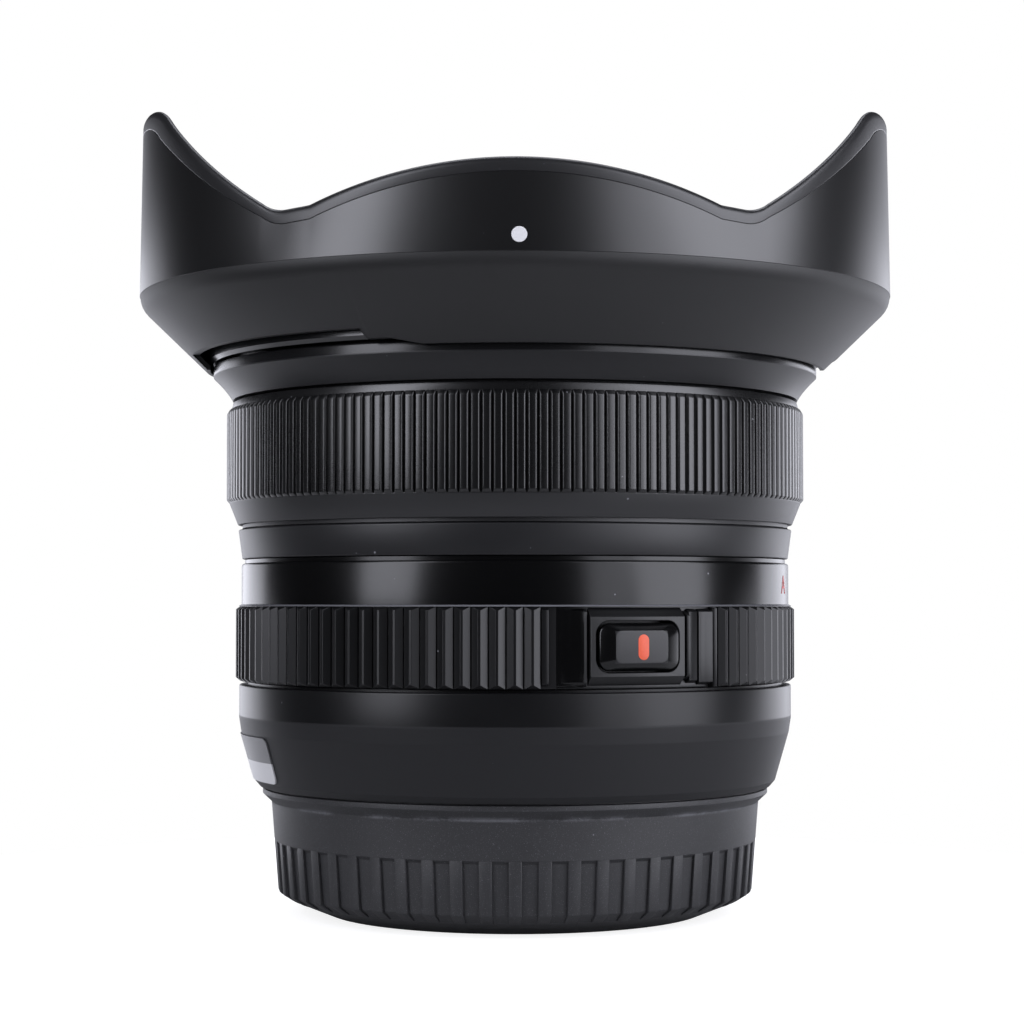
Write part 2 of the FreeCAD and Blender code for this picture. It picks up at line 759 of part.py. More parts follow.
def rear_cap():
    """Deep cap with three inner lugs and a row of shallow grip pads."""
    body = turned("rear_cap", [
        ("0", "cap_bottom + cap_foot_depth"),
        ("cap_foot_radius", "cap_bottom + cap_foot_depth"),
        ("cap_foot_radius + cap_foot_depth", "cap_bottom"),
        ("cap_bottom_radius", "cap_bottom"),
        ("cap_bevel_radius", "cap_bevel"),
        ("cap_chamfer_radius", "cap_chamfer"),
        ("cap_radius", "cap_lip_end"),
        ("cap_lip_radius", "cap_top - cap_lip_depth"),
        ("cap_lip_radius", "cap_top"),
        ("cap_bore", "cap_top"),
        ("cap_bore", "cap_inside"),
        ("0", "cap_inside"),
    ])
    section = rectangle("cap_lug_bore", "cap_bore", "lug_front + cap_lug_clearance",
                        "0 - cap_lug_clearance")
    lug = outline(body, "cap_lug", "XZ_Plane", section)
    repeat(body, [revolve(body, lug, "cap_lug_span")], "3")
    pad = outline(body, "grip_pad", "XZ_Plane", [
        ("cap_bevel_radius - cap_pad_depth", "cap_bottom"),
        ("cap_radius", "cap_bottom"),
        ("cap_lip_radius", "cap_pad_top"),
        ("cap_pad_radius - cap_pad_depth", "cap_pad_top"),
        ("cap_chamfer_radius - cap_pad_depth", "cap_chamfer"),
        ("cap_bevel_radius - cap_pad_depth", "cap_bevel"),
    ])
    cut = revolve(body, pad, "360 * cap_pad_share / cap_pads", cut=True)
    repeat(body, [cut], "cap_pads", grows=False)


def rear_barrel():
    """Tapered rear barrel, with the ledge that the mount sits on and the hub under the rings."""
    body = turned("rear_barrel", [
        ("mount_radius", "barrel_setback"),
        ("barrel_rear_radius - barrel_edge_width", "barrel_setback"),
        ("barrel_rear_radius", "taper_rear"),
        ("barrel_taper_radius", "taper_front", "barrel_blend_radius", "left"),
        ("barrel_radius", "blend_front"),
        ("barrel_radius", "barrel_front - barrel_front_edge"),
        ("barrel_radius - barrel_front_edge", "barrel_front"),
        ("hub_radius", "barrel_front"),
        ("hub_radius", "hub_front"),
        ("sleeve_radius", "hub_front"),
        ("sleeve_radius", "sleeve_rear"),
        ("sleeve_bore", "sleeve_rear"),
        ("sleeve_bore", "ledge_front"),
        ("ledge_bore", "ledge_front"),
        ("ledge_bore", "mount_thickness"),
        ("mount_radius", "mount_thickness"),
    ])
    hole = circles(body, "screw_way", "XY_Plane", [("mount_screw_circle", "0", "mount_screw_shank")],
                   screw_turn, "mount_thickness")
    repeat(body, [extrude(body, hole, "ledge_thickness", cut=True, back=True)], "mount_screws",
           grows=False)

    plate = new_body("label_plate")
    face = outline(plate, "plate", "XZ_Plane",
                   rounded(centred("label_chord", "label_width", "(label_rear + label_front) / 2"),
                           "label_corner"), "0 - 90", "sleeve_bore * cos(label_span / 2)")
    extrude(plate, face, "barrel_radius")
    inside = outline(plate, "taper_inside", "XZ_Plane", [
        ("0", "taper_rear"),
        ("barrel_rear_radius", "taper_rear"),
        ("barrel_taper_radius", "taper_front"),
        ("0", "taper_front"),
    ])
    revolve(plate, inside, cut=True)
    outside = outline(plate, "taper_outside", "XZ_Plane", [
        ("barrel_rear_radius + label_thickness", "taper_rear"),
        ("2 * barrel_radius", "taper_rear"),
        ("2 * barrel_radius", "taper_front"),
        ("barrel_taper_radius + label_thickness", "taper_front"),
    ])
    revolve(plate, outside, cut=True)


def inner_barrel():
    """Barrel that carries both rings, with the groove that the lock pin runs in."""
    body = turned("inner_barrel", [
        ("sleeve_bore", "sleeve_rear"),
        ("sleeve_radius", "sleeve_rear"),
        ("sleeve_radius", "band_front"),
        ("journal_radius", "band_front"),
        ("journal_radius", "head_rear"),
        ("sleeve_bore", "head_rear"),
    ])
    reach = "stem_head_radius + lock_groove_clearance"
    middle = "button_azimuth + (aperture_turn_on - aperture_turn_back) / 2"
    section = rectangle("groove_floor", "sleeve_radius + turn_clearance",
                        "button_station - (%s)" % reach, "button_station + %s" % reach)
    groove = outline(body, "lock_groove", "XZ_Plane", section, radial("(%s)" % middle))
    sweep = "aperture_turn_on + aperture_turn_back + 2 * (%s) * 180 / pi / sleeve_radius" % reach
    revolve(body, groove, sweep, cut=True)
    ball = circles(body, "ball_hole", "XZ_Plane",
                   [("0", "button_station", "detent_ball + detent_hole_clearance")],
                   "detent_azimuth", "sleeve_radius + turn_clearance")
    extrude(body, ball, "detent_hole_depth + turn_clearance", cut=True)
    hole = circles(body, "barrel_screw_hole", "XY_Plane",
                   [("barrel_screw_circle", "0", "barrel_screw_shank")], "0", "head_rear")
    way = extrude(body, hole, "barrel_screw_length - (cell_ledge - barrel_screw_head_depth - head_rear)",
                  cut=True)
    repeat(body, [way], "barrel_screws", grows=False)

    detent = document.addObject("Part::Sphere", "detent_ball")
    detent.setExpression("Radius", spell("detent_ball"))
    pieces.append(detent)
    centre = "sleeve_radius + turn_clearance - detent_clearance - detent_ball"
    detent.Placement = side_place("detent_azimuth", centre, "button_station")

    spring = new_body("detent_spring")
    ring = circles(spring, "spring", "XZ_Plane", [
        ("0", "0", "detent_ball - detent_spring_wall"),
        ("0", "0", "detent_ball - 2 * detent_spring_wall"),
    ])
    depth = "%s - detent_ball - (sleeve_radius - detent_hole_depth)" % centre
    extrude(spring, ring, depth)
    spring.Placement = side_place("detent_azimuth", "sleeve_radius - detent_hole_depth",
                                  "button_station")


def side_place(azimuth, radius, station):
    """Placement of a piece whose -Y side faces outwards at an azimuth, radius and station."""
    turn = Rotation(Vector(0, 0, 1), value(azimuth))
    return Placement(turn.multVec(Vector(0, -value(radius), value(station))), turn)


def band():
    """Fixed band between the two rings."""
    turned("middle_band", [
        ("sleeve_radius", "band_rear"),
        ("band_rear_radius - band_edge", "band_rear"),
        ("band_rear_radius", "band_rear + band_edge"),
        ("band_front_radius", "band_front - band_edge"),
        ("band_front_radius - band_edge", "band_front"),
        ("sleeve_radius", "band_front"),
    ])


def aperture_ring():
    """Fluted ring with a raised frame round the window of its lock button."""
    body = turned("aperture_ring", [
        ("aperture_bore", "aperture_rear"),
        ("aperture_band_radius", "aperture_rear"),
        ("aperture_band_radius", "rib_rear"),
        ("aperture_rib_radius", "rib_rear"),
        ("aperture_rib_radius", "rib_front"),
        ("aperture_band_radius", "rib_front"),
        ("aperture_band_radius", "aperture_front - aperture_front_edge"),
        ("aperture_band_radius - aperture_front_edge", "aperture_front"),
        ("aperture_bore", "aperture_front"),
    ])
    low = "button_azimuth - block_span / 2"
    high = "button_azimuth + block_span / 2"
    sides = (("scoop", "scoop_radius", "scoop_span", "%s - scoop_span / 2" % low),
             ("step", "step_radius", "step_span", "%s + step_span / 2" % high))
    for name, radius, span, azimuth in sides:
        scoop = rectangle(radius, "button_top", "rib_rear", "rib_front")
        revolve(body, outline(body, name, "XZ_Plane", scoop, radial("(%s)" % azimuth)), span, cut=True)
    ridge = outline(body, "ridge", "XZ_Plane",
                    rectangle("aperture_bore", "ridge_radius", "rib_rear", "rib_front"),
                    radial("(%s + step_span + ridge_span / 2)" % high))
    revolve(body, ridge, "ridge_span")
    frame = outline(body, "frame", "XZ_Plane", [
        ("window_floor", "block_rear - block_slope_rear"),
        ("aperture_band_radius", "block_rear - block_slope_rear"),
        ("block_radius", "block_rear"),
        ("block_radius", "block_front"),
        ("aperture_band_radius", "block_front + block_slope_front"),
        ("window_floor", "block_front + block_slope_front"),
    ], radial("(button_azimuth)"))
    revolve(body, frame, "block_span")
    window = outline(body, "window", "XZ_Plane",
                     rounded(centred("window_width", "window_height", "button_station"),
                             "(button_corner + button_clearance)"),
                     "button_azimuth", "button_top")
    extrude(body, window, "button_top - window_floor", cut=True)
    room = circles(body, "stem_head_room", "XZ_Plane",
                   [("0", "button_station", "stem_head_radius + stem_clearance")],
                   "button_azimuth", "aperture_bore + stem_head_room")
    extrude(body, room, "stem_head_room + stem_head_radius", cut=True)
    hole = circles(body, "stem_hole", "XZ_Plane",
                   [("0", "button_station", "stem_radius + stem_clearance")],
                   "button_azimuth", "button_top")
    extrude(body, hole, "button_top - aperture_bore + stem_radius", cut=True)
    flute = outline(body, "aperture_flute", "XY_Plane", [
        ("aperture_rib_radius - aperture_flute_depth", "0"),
        ("aperture_rib_radius", "0 - aperture_flute_width / 2"),
        ("aperture_rib_radius + aperture_flute_depth", "0 - aperture_flute_width / 2"),
        ("aperture_rib_radius + aperture_flute_depth", "aperture_flute_width / 2"),
        ("aperture_rib_radius", "aperture_flute_width / 2"),
    ], radial("(aperture_rib_first)"), "rib_rear")
    cut = extrude(body, flute, "aperture_rib_length", cut=True, back=True)
    repeat(body, [cut], "aperture_ribs", "aperture_rib_span", grows=False)


def rounded(corners, radius):
    """The same anticlockwise rectangle, its corners as arcs."""
    (left, low), (right, _), (_, high), _ = corners
    return [
        ("%s + %s" % (left, radius), low),
        ("%s - %s" % (right, radius), low, radius, "left"),
        (right, "%s + %s" % (low, radius)),
        (right, "%s - %s" % (high, radius), radius, "left"),
        ("%s - %s" % (right, radius), high),
        ("%s + %s" % (left, radius), high, radius, "left"),
        (left, "%s - %s" % (high, radius)),
        (left, "%s + %s" % (low, radius), radius, "left"),
    ]


def lock_button():
    """Bevelled button with a headed stem through the ring, its coloured mark and its spring."""
    body = new_body("lock_button")
    base = rounded(centred("button_width", "button_height", "button_station"), "button_corner")
    face = rounded(centred("button_face_width", "button_face_height", "button_station"),
                   "button_face_corner")
    skirt = outline(body, "skirt", "XZ_Plane", base, "button_azimuth", "button_rear")
    extrude(body, skirt, "button_skirt")
    lower = outline(body, "bevel_foot", "XZ_Plane", base, "button_azimuth", "button_shoulder")
    upper = outline(body, "face", "XZ_Plane", face, "button_azimuth", "button_top")
    loft = body.newObject("PartDesign::AdditiveLoft", "bevel")
    loft.Profile = lower
    loft.Sections = [upper]
    loft.Ruled = True
    finish(body, loft, True)
    stem = circles(body, "stem", "XZ_Plane", [("0", "button_station", "stem_radius")],
                   "button_azimuth", "stem_tip")
    extrude(body, stem, "button_rear - stem_tip")
    head = circles(body, "stem_head", "XZ_Plane", [("0", "button_station", "stem_head_radius")],
                   "button_azimuth", "stem_tip")
    extrude(body, head, "stem_head")
    pill = mark_outline()
    pocket = outline(body, "mark_seat", "XZ_Plane", pill, "button_azimuth", "button_top")
    extrude(body, pocket, "mark_depth", cut=True)

    mark = new_body("lock_button_mark")
    sketch = outline(mark, "mark", "XZ_Plane", pill, "button_azimuth", "button_top - mark_depth")
    extrude(mark, sketch, "mark_depth")

    spring = new_body("lock_button_spring")
    rounds = [("0", "button_station", "button_spring_radius"),
              ("0", "button_station", "button_spring_radius - button_spring_wall")]
    ring = circles(spring, "spring", "XZ_Plane", rounds, "button_azimuth", "window_floor")
    extrude(spring, ring, "button_rear - window_floor")


def mark_outline():
    """Upright pill on the button's face."""
    half = "mark_width / 2"
    rise = "(mark_height - mark_width) / 2"
    return [
        (half, "button_station - %s" % rise),
        (half, "button_station + %s" % rise, "mark_width / 1.99", "left"),
        ("0 - %s" % half, "button_station + %s" % rise),
        ("0 - %s" % half, "button_station - %s" % rise, "mark_width / 1.99", "left"),
    ]


def focus_ring():
    """Finely fluted ring on the front journal."""
    body = turned("focus_ring", [
        ("focus_ring_bore", "focus_foot"),
        ("focus_ring_bore + focus_foot_width", "focus_foot"),
        ("focus_ring_bore + focus_foot_width", "focus_rear"),
        ("focus_rear_radius", "focus_rear"),
        ("focus_cone_radius", "focus_cone_end"),
        ("focus_rib_radius", "focus_cone_end"),
        ("focus_rib_radius", "focus_shoulder"),
        ("focus_cone_radius", "focus_shoulder"),
        ("focus_front_radius", "focus_front"),
        ("focus_ring_bore", "focus_front"),
    ])
    flute = outline(body, "focus_flute", "XY_Plane", [
        ("focus_rib_radius - focus_flute_depth", "0"),
        ("focus_rib_radius", "0 - focus_flute_width"),
        ("focus_rib_radius + focus_flute_depth", "0 - focus_flute_width"),
        ("focus_rib_radius + focus_flute_depth", "focus_flute_width"),
        ("focus_rib_radius", "focus_flute_width"),
    ], "0", "focus_cone_end")
    cut = extrude(body, flute, "focus_shoulder - focus_cone_end", cut=True, back=True)
    repeat(body, [cut], "focus_ribs", grows=False)


def front_barrel():
    """Flared front barrel with the filter bore inside and the hood's bayonet outside."""
    body = turned("front_barrel", [
        ("cell_ledge_bore", "head_rear"),
        ("flare_rear_radius", "head_rear", "flare_curve", "right"),
        ("flare_front_radius", "flare_front - flare_edge"),
        ("flare_front_radius", "lip_front - lip_edge"),
        ("flare_front_radius - lip_edge", "lip_front"),
        ("neck_radius", "lip_front"),
        ("neck_radius", "catch_rear"),
        ("catch_radius", "catch_rear"),
        ("catch_radius", "head_front - catch_edge"),
        ("catch_radius - catch_edge", "head_front"),
        ("filter_radius", "head_front"),
        ("filter_radius", "filter_floor"),
        ("cell_flange_radius", "filter_floor"),
        ("cell_flange_radius", "cell_ledge"),
        ("cell_ledge_bore", "cell_ledge"),
    ])
    seat = circles(body, "barrel_screw_seat", "XY_Plane",
                   [("barrel_screw_circle", "0", "barrel_screw_head")], "0", "cell_ledge")
    way = circles(body, "barrel_screw_way", "XY_Plane",
                  [("barrel_screw_circle", "0", "barrel_screw_shank")], "0", "cell_ledge")
    cuts = [
        extrude(body, seat, "barrel_screw_head_depth", cut=True),
        extrude(body, way, "cell_ledge - head_rear", cut=True),
    ]
    repeat(body, cuts, "barrel_screws", grows=False)
    slot = rectangle("neck_radius", "catch_radius + 1", "catch_rear", "head_front")
    entry = outline(body, "slot", "XZ_Plane", slot, radial("(hood_lug_azimuth + hood_turn)"))
    cut = revolve(body, entry, "hood_lug_span + 2 * hood_slot_clearance", cut=True)
    repeat(body, [cut], "hood_lugs", grows=False)
    stop = outline(body, "stop", "XZ_Plane",
                   rectangle("filter_radius", "catch_radius", "lip_front", "catch_rear"),
                   radial("(hood_lug_azimuth - (hood_lug_span + hood_stop_span) / 2"
                          " - hood_slot_clearance)"))
    repeat(body, [revolve(body, stop, "hood_stop_span")], "hood_lugs")

    screws = new_body("barrel_screws")
    head = circles(screws, "barrel_head", "XY_Plane",
                   [("barrel_screw_circle", "0", "barrel_screw_head")], "0", "cell_ledge")
    shank = circles(screws, "barrel_shank", "XY_Plane",
                    [("barrel_screw_circle", "0", "barrel_screw_shank")], "0",
                    "cell_ledge - barrel_screw_head_depth")
    solids = [
        extrude(screws, head, "barrel_screw_head_depth", back=True),
        extrude(screws, shank, "barrel_screw_length", back=True),
    ]
    repeat(screws, solids, "barrel_screws")

    turned("front_trim_ring", [
        ("trim_bore", "flange_front"),
        ("cell_flange_radius - trim_clearance", "flange_front"),
        ("cell_flange_radius - trim_clearance", "filter_floor"),
        ("trim_bore + trim_thickness", "filter_floor"),
        ("trim_bore", "flange_front + trim_edge"),
    ])


def tangent_radius(run, rise):
    """Radius of an arc that leaves a level line and covers this run and rise."""
    return "(%s * %s + %s * %s) / (2 * %s)" % (run, run, rise, rise, rise)


def petal_edge(drop):
    """The petals' edge seen from the viewer's side, from left to right, lowered by a drop."""
    top = "hood_front - (%s)" % drop
    peak = "hood_rear + short_petal_height - (%s)" % drop
    valley = "hood_rear + valley_height - (%s)" % drop
    inner = ("%s - (short_petal_curve - sqrt(short_petal_curve * short_petal_curve"
             " - valley_inner * valley_inner))" % peak)
    foot_round = tangent_radius("petal_foot_run", "petal_foot_rise")
    top_round = tangent_radius("petal_shoulder_run", "petal_shoulder_rise")
    foot = ("(valley_outer + petal_foot_run)", valley + " + petal_foot_rise")
    shoulder = ("(petal_shoulder + petal_lean * (%s))" % drop, top + " - petal_shoulder_rise")
    level = "(%s + petal_shoulder_run)" % shoulder[0]
    return [
        ("0 - %s" % level, top, top_round, "right"),
        ("0 - %s" % shoulder[0], shoulder[1], "petal_sweep", "left"),
        ("0 - %s" % foot[0], foot[1], foot_round, "left"),
        ("0 - valley_outer", valley),
        ("0 - valley_inner", inner, "short_petal_curve", "right"),
        ("valley_inner", inner),
        ("valley_outer", valley, foot_round, "left"),
        foot + ("petal_sweep", "left"),
        shoulder + (top_round, "right"),
        (level, top),
    ]


def backwards(corners):
    """The same run of corners from its end to its start."""
    other = {"left": "right", "right": "left"}
    places = [corner[:2] for corner in reversed(corners)]
    arcs = [(corner[2], other[corner[3]]) if len(corner) > 2 else () for corner in reversed(corners[:-1])]
    return [place + arc for place, arc in zip(places, arcs + [()])]


def petal_outline(drop):
    """Region above the petals' edge."""
    beyond = "(hood_root_radius + hood_rim_radius)"
    return petal_edge(drop) + [
        (beyond, "hood_front - (%s)" % drop),
        (beyond, "hood_front + 3"),
        ("0 - %s" % beyond, "hood_front + 3"),
        ("0 - %s" % beyond, "hood_front - (%s)" % drop),
    ]


def petal_foot(drop):
    """Region between the shell's corner and the petals' edge."""
    beyond = "(hood_root_radius + hood_rim_radius)"
    return backwards(petal_edge(drop)) + [
        ("0 - %s" % beyond, "hood_front - (%s)" % drop),
        ("0 - %s" % beyond, "shell_corner"),
        (beyond, "shell_corner"),
        (beyond, "hood_front - (%s)" % drop),
    ]


def hood():
    """Petal hood: an outer shell and a liner that carries the bayonet lugs and forms the rim."""
    shell = new_body("hood_shell")
    section = [
        ("collar_radius", "hood_rear"),
        ("skirt_radius", "hood_rear"),
        ("hood_root_radius", "hood_corner_station"),
        ("hood_rim_radius", "hood_front"),
        ("shell_inner_rim", "hood_front"),
        ("shell_inner_root", "shell_corner"),
        ("collar_radius", "shell_foot"),
    ]
    revolve(shell, outline(shell, "shell_section", "XZ_Plane", section))
    round_edges(shell, "hood_corner", lambda edge: is_ring(edge, "hood_root_radius"))
    edge = outline(shell, "petals", "XZ_Plane", petal_outline("rim_height"))
    extrude(shell, edge, "3 * hood_root_radius", cut=True, both=True)
    notch(shell, "notch_azimuth", "first")
    notch(shell, "notch_azimuth + notch_spacing", "second")

    liner = new_body("hood_liner")
    rim = [
        ("shell_inner_root", "shell_corner"),
        ("hood_root_radius - wall_draft * (shell_corner - hood_corner_station)", "shell_corner"),
        ("hood_rim_radius", "hood_front"),
        ("shell_inner_rim", "hood_front"),
    ]
    revolve(liner, outline(liner, "rim_section", "XZ_Plane", rim))
    below = outline(liner, "rim_foot", "XZ_Plane", petal_foot("rim_height"))
    extrude(liner, below, "3 * hood_root_radius", cut=True, both=True)
    section = [
        ("collar_bore", "collar_rear"),
        ("collar_radius - collar_chamfer", "collar_rear"),
        ("collar_radius", "collar_rear + collar_chamfer"),
        ("collar_radius", "liner_floor_rear"),
        ("shell_inner_root - liner_bevel", "liner_floor_rear"),
        ("shell_inner_root - inner_draft * (liner_wall_start - shell_corner)", "liner_wall_start"),
        ("shell_inner_rim", "hood_front"),
        ("liner_rim", "hood_front"),
        ("liner_root", "liner_floor_top + liner_bevel"),
        ("liner_root - liner_bevel", "liner_floor_top"),
        ("collar_bore", "liner_floor_top"),
    ]
    revolve(liner, outline(liner, "liner_section", "XZ_Plane", section))
    edge = outline(liner, "petals", "XZ_Plane", petal_outline("0"))
    extrude(liner, edge, "3 * hood_root_radius", cut=True, both=True)
    lug = rectangle("hood_lug_bore", "collar_radius - collar_chamfer", "collar_rear", "hood_lug_front")
    section = outline(liner, "hood_lug", "XZ_Plane", lug, radial("(hood_lug_azimuth)"))
    repeat(liner, [revolve(liner, section, "hood_lug_span")], "hood_lugs")


def is_ring(edge, radius):
    """Whether an edge is a whole circle of this radius about the optical axis."""
    if not isinstance(edge.Curve, Part.Circle):
        return False
    return abs(edge.Curve.Radius - value(radius)) < 0.001 and edge.Closed


def notch(shell, azimuth, name):
    """Window in the foot of the skirt, with a lower step beside it."""
    cuts = (("window", "notch_height", "notch_span", "(%s)" % azimuth),
            ("step", "notch_step_height", "notch_step_span",
             "(%s + (notch_span + notch_step_span) / 2)" % azimuth))
    for part, height, span, place in cuts:
        section = rectangle("collar_radius - 1", "hood_root_radius", "hood_rear - 1", "hood_rear + " + height)
        sketch = outline(shell, "%s_notch_%s" % (name, part), "XZ_Plane", section, radial(place))
        revolve(shell, sketch, span, cut=True)


def dome(radius, half):
    """How far a face of this curvature rises over an opening of this half width."""
    return "(%s - sqrt(%s * %s - %s * %s))" % (radius, radius, radius, half, half)


def element(name, rim, rear_edge, front_edge, rear=None, front=None, rear_half=None):
    """A lens element: rear and front are (radius, bulge), where the bulge says whether the face's
    middle lies forward or back of its edge. A face with neither is flat."""
    half = rear_half or rim
    corners = []
    if rear:
        radius, bulge = rear
        sign = "+" if bulge == "forward" else "-"
        corners.append(("0", "%s %s %s" % (rear_edge, sign, dome(radius, half)), radius,
                        "right" if bulge == "forward" else "left"))
    else:
        corners.append(("0", rear_edge))
    if rear_half or rear:
        corners.append((half, rear_edge))
    if rear_half:
        corners.append((rim, rear_edge))
    if not rear and not rear_half:
        corners.append((rim, rear_edge))
    if front:
        radius, bulge = front
        sign = "+" if bulge == "forward" else "-"
        corners.append((rim, front_edge, radius, "left" if bulge == "forward" else "right"))
        corners.append(("0", "%s %s %s" % (front_edge, sign, dome(radius, rim))))
    else:
        corners.append((rim, front_edge))
        corners.append(("0", front_edge))
    turned(name, corners)


def crown(radius, rim, bore):
    """How far a domed face stands over its edge where a ring of this bore rests on it."""
    return "(sqrt(%s * %s - (%s) * (%s)) - sqrt(%s * %s - %s * %s))" % (
        radius, radius, bore, bore, radius, radius, rim, rim)


def retaining_ring(name, bore, radius, low, high):
    """Plain threaded ring that holds an element in its cell."""
    turned(name, rectangle(bore, radius, low, high))


def front_group():
    """Stepped front cell with its four elements and their retaining rings."""
    clear = "glass_clearance"
    turned("front_cell", [
        ("cell_skirt_bore", "iris_cover_front"),
        ("cell_neck_radius", "iris_cover_front"),
        ("cell_neck_radius", "cell_step"),
        ("cell_radius", "cell_step"),
        ("cell_radius", "cell_ledge"),
        ("cell_flange_radius", "cell_ledge"),
        ("cell_flange_radius", "flange_front"),
        ("element_one_radius + %s" % clear, "flange_front"),
        ("element_one_radius + %s" % clear, "front_seat"),
        ("element_two_radius + %s" % clear, "front_seat"),
        ("element_two_radius + %s" % clear, "second_seat"),
        ("element_three_radius + %s" % clear, "second_seat"),
        ("element_three_radius + %s" % clear, "third_seat"),
        ("element_four_radius + %s" % clear, "third_seat"),
        ("element_four_radius + %s" % clear, "fourth_rear - cell_spare"),
        ("cell_skirt_bore", "fourth_rear - cell_spare"),
    ])
    element("element_1", "element_one_radius", "front_seat", "(front_seat + element_one_edge)",
            ("element_one_rear", "forward"), ("element_one_front", "forward"), "element_one_hollow")
    element("element_2", "element_two_radius", "second_seat", "(second_seat + element_two_edge)",
            ("element_two_rear", "forward"), ("element_two_front", "forward"), "element_two_hollow")
    element("element_3", "element_three_radius", "third_seat", "(third_seat + element_three_edge)",
            ("element_three_rear", "forward"), ("element_three_front", "forward"),
            "element_three_hollow")
    element("element_4", "element_four_radius", "fourth_rear", "(fourth_rear + element_four_edge)",
            ("element_four_rear", "back"), ("element_four_front", "forward"))
    rest = "front_seat + element_one_edge + " + crown("element_one_front", "element_one_radius",
                                                      "front_retainer_bore")
    retaining_ring("front_retainer", "front_retainer_bore", "element_one_radius + %s" % clear,
                   rest, rest + " + front_retainer_height")
    lip = "element_four_radius - retainer_lip"
    rest = "fourth_rear - " + crown("element_four_rear", "element_four_radius", lip)
    retaining_ring("second_retainer", lip, "element_four_radius + %s" % clear,
                   rest + " - retainer_height", rest)


def gear_tooth(body, name, pitch_radius, first, station, thickness):
    """One tooth of a spur gear at the azimuth of the first, on a disc that ends at its root."""
    root = "(%s - tooth_root - tooth_sink)" % pitch_radius
    tip = "(%s + tooth_height)" % pitch_radius
    tooth = outline(body, name, "XY_Plane", [
        (root, "0 - tooth_foot_width / 2"),
        (tip, "0 - tooth_tip_width / 2"),
        (tip, "tooth_tip_width / 2"),
        (root, "tooth_foot_width / 2"),
    ], first, station)
    return extrude(body, tooth, thickness)


def iris():
    """Iris: base, cover, slotted drive ring with its toothed sector, blades, motor and pinion."""
    base = new_body("iris_base")
    plate = circles(base, "plate", "XY_Plane", [("0", "0", "iris_base_radius"), ("0", "0", "iris_bore")],
                    "0", "iris_rear")
    extrude(base, plate, "iris_base_thickness")
    post = circles(base, "post", "XY_Plane", [("iris_post_circle", "0", "iris_post_radius")], "0",
                   "iris_rear + iris_base_thickness")
    posts = extrude(base, post, "iris_cover_rear - iris_rear - iris_base_thickness")
    repeat(base, [posts], "iris_posts")
    hole = circles(base, "pivot_hole", "XY_Plane",
                   [("blade_pivot_circle", "0", "blade_pin + blade_pin_clearance")], "0", "iris_rear")
    way = extrude(base, hole, "iris_base_thickness", cut=True, back=True)
    repeat(base, [way], "blade_count", grows=False)
    drill(base, "pinion_way", "pinion_circle", "pinion_azimuth", "pinion_shaft + pinion_shaft_clearance")
    drill(base, "screw_bearing", "screw_circle", "90", "lead_screw_radius + screw_clearance")
    for azimuth in (0, 180):
        drill(base, "rod_seat_%d" % azimuth, "rod_circle", str(azimuth), "rod_radius")

    cover = new_body("iris_cover")
    plate = circles(cover, "plate", "XY_Plane",
                    [("0", "0", "iris_cover_radius"), ("0", "0", "iris_cover_bore")], "0",
                    "iris_cover_rear")
    extrude(cover, plate, "iris_cover_thickness")
    collar_radius = "drive_ring_bore - drive_ring_clearance"
    collar = circles(cover, "collar", "XY_Plane",
                     [("0", "0", collar_radius), ("0", "0", collar_radius + " - cover_collar_wall")],
                     "0", "drive_ring_rear")
    extrude(cover, collar, "iris_cover_rear - drive_ring_rear")

    ring = new_body("iris_drive_ring")
    rim = "ring_pitch_radius - tooth_root"
    disc = circles(ring, "disc", "XY_Plane", [("0", "0", rim), ("0", "0", "drive_ring_bore")], "0",
                   "drive_ring_rear")
    extrude(ring, disc, "drive_ring_thickness")
    play = "blade_pin + blade_slot_clearance"
    slot = outline(ring, "pin_slot", "XY_Plane", rectangle(
        "blade_pin_in - blade_pin - blade_slot_spare", "blade_pin_out + blade_pin + blade_slot_spare",
        "0 - (%s)" % play, play), "0 - drive_swing / 2", "drive_ring_rear")
    cut = extrude(ring, slot, "drive_ring_thickness", cut=True, back=True)
    repeat(ring, [cut], "blade_count", grows=False)
    pitch = "360 / ring_teeth"
    first = "pinion_azimuth - 90 - (%s) * (sector_teeth - 1) / 2" % pitch
    tooth = gear_tooth(ring, "sector_tooth", "ring_pitch_radius", first, "drive_ring_rear",
                       "drive_ring_thickness")
    repeat(ring, [tooth], "sector_teeth", "(%s) * (sector_teeth - 1)" % pitch)

    for number in range(int(value("blade_count"))):
        blade(number)

    motor = new_body("iris_motor")
    can = circles(motor, "can", "XY_Plane", [("0", "0", "iris_motor_radius")], "0",
                  "iris_rear - iris_motor_length")
    extrude(motor, can, "iris_motor_length")
    motor.Placement = axis_place("pinion_circle", "pinion_azimuth")

    pinion = new_body("iris_pinion")
    hub = circles(pinion, "hub", "XY_Plane", [("0", "0", "pinion_pitch_radius - tooth_root")], "0",
                  "drive_ring_rear")
    extrude(pinion, hub, "drive_ring_thickness")
    tooth = gear_tooth(pinion, "pinion_tooth", "pinion_pitch_radius", "90 + 180 / pinion_teeth",
                       "drive_ring_rear", "drive_ring_thickness")
    repeat(pinion, [tooth], "pinion_teeth")
    shaft = circles(pinion, "shaft", "XY_Plane", [("0", "0", "pinion_shaft")], "0", "iris_rear")
    extrude(pinion, shaft, "drive_ring_rear - iris_rear")
    pinion.Placement = axis_place("pinion_circle", "pinion_azimuth")


def drill(body, name, circle, azimuth, radius):
    """Axial hole through the iris base."""
    hole = circles(body, name, "XY_Plane", [(circle, "0", radius)], radial("(%s)" % azimuth), "iris_rear")
    extrude(body, hole, "iris_base_thickness", cut=True, back=True)


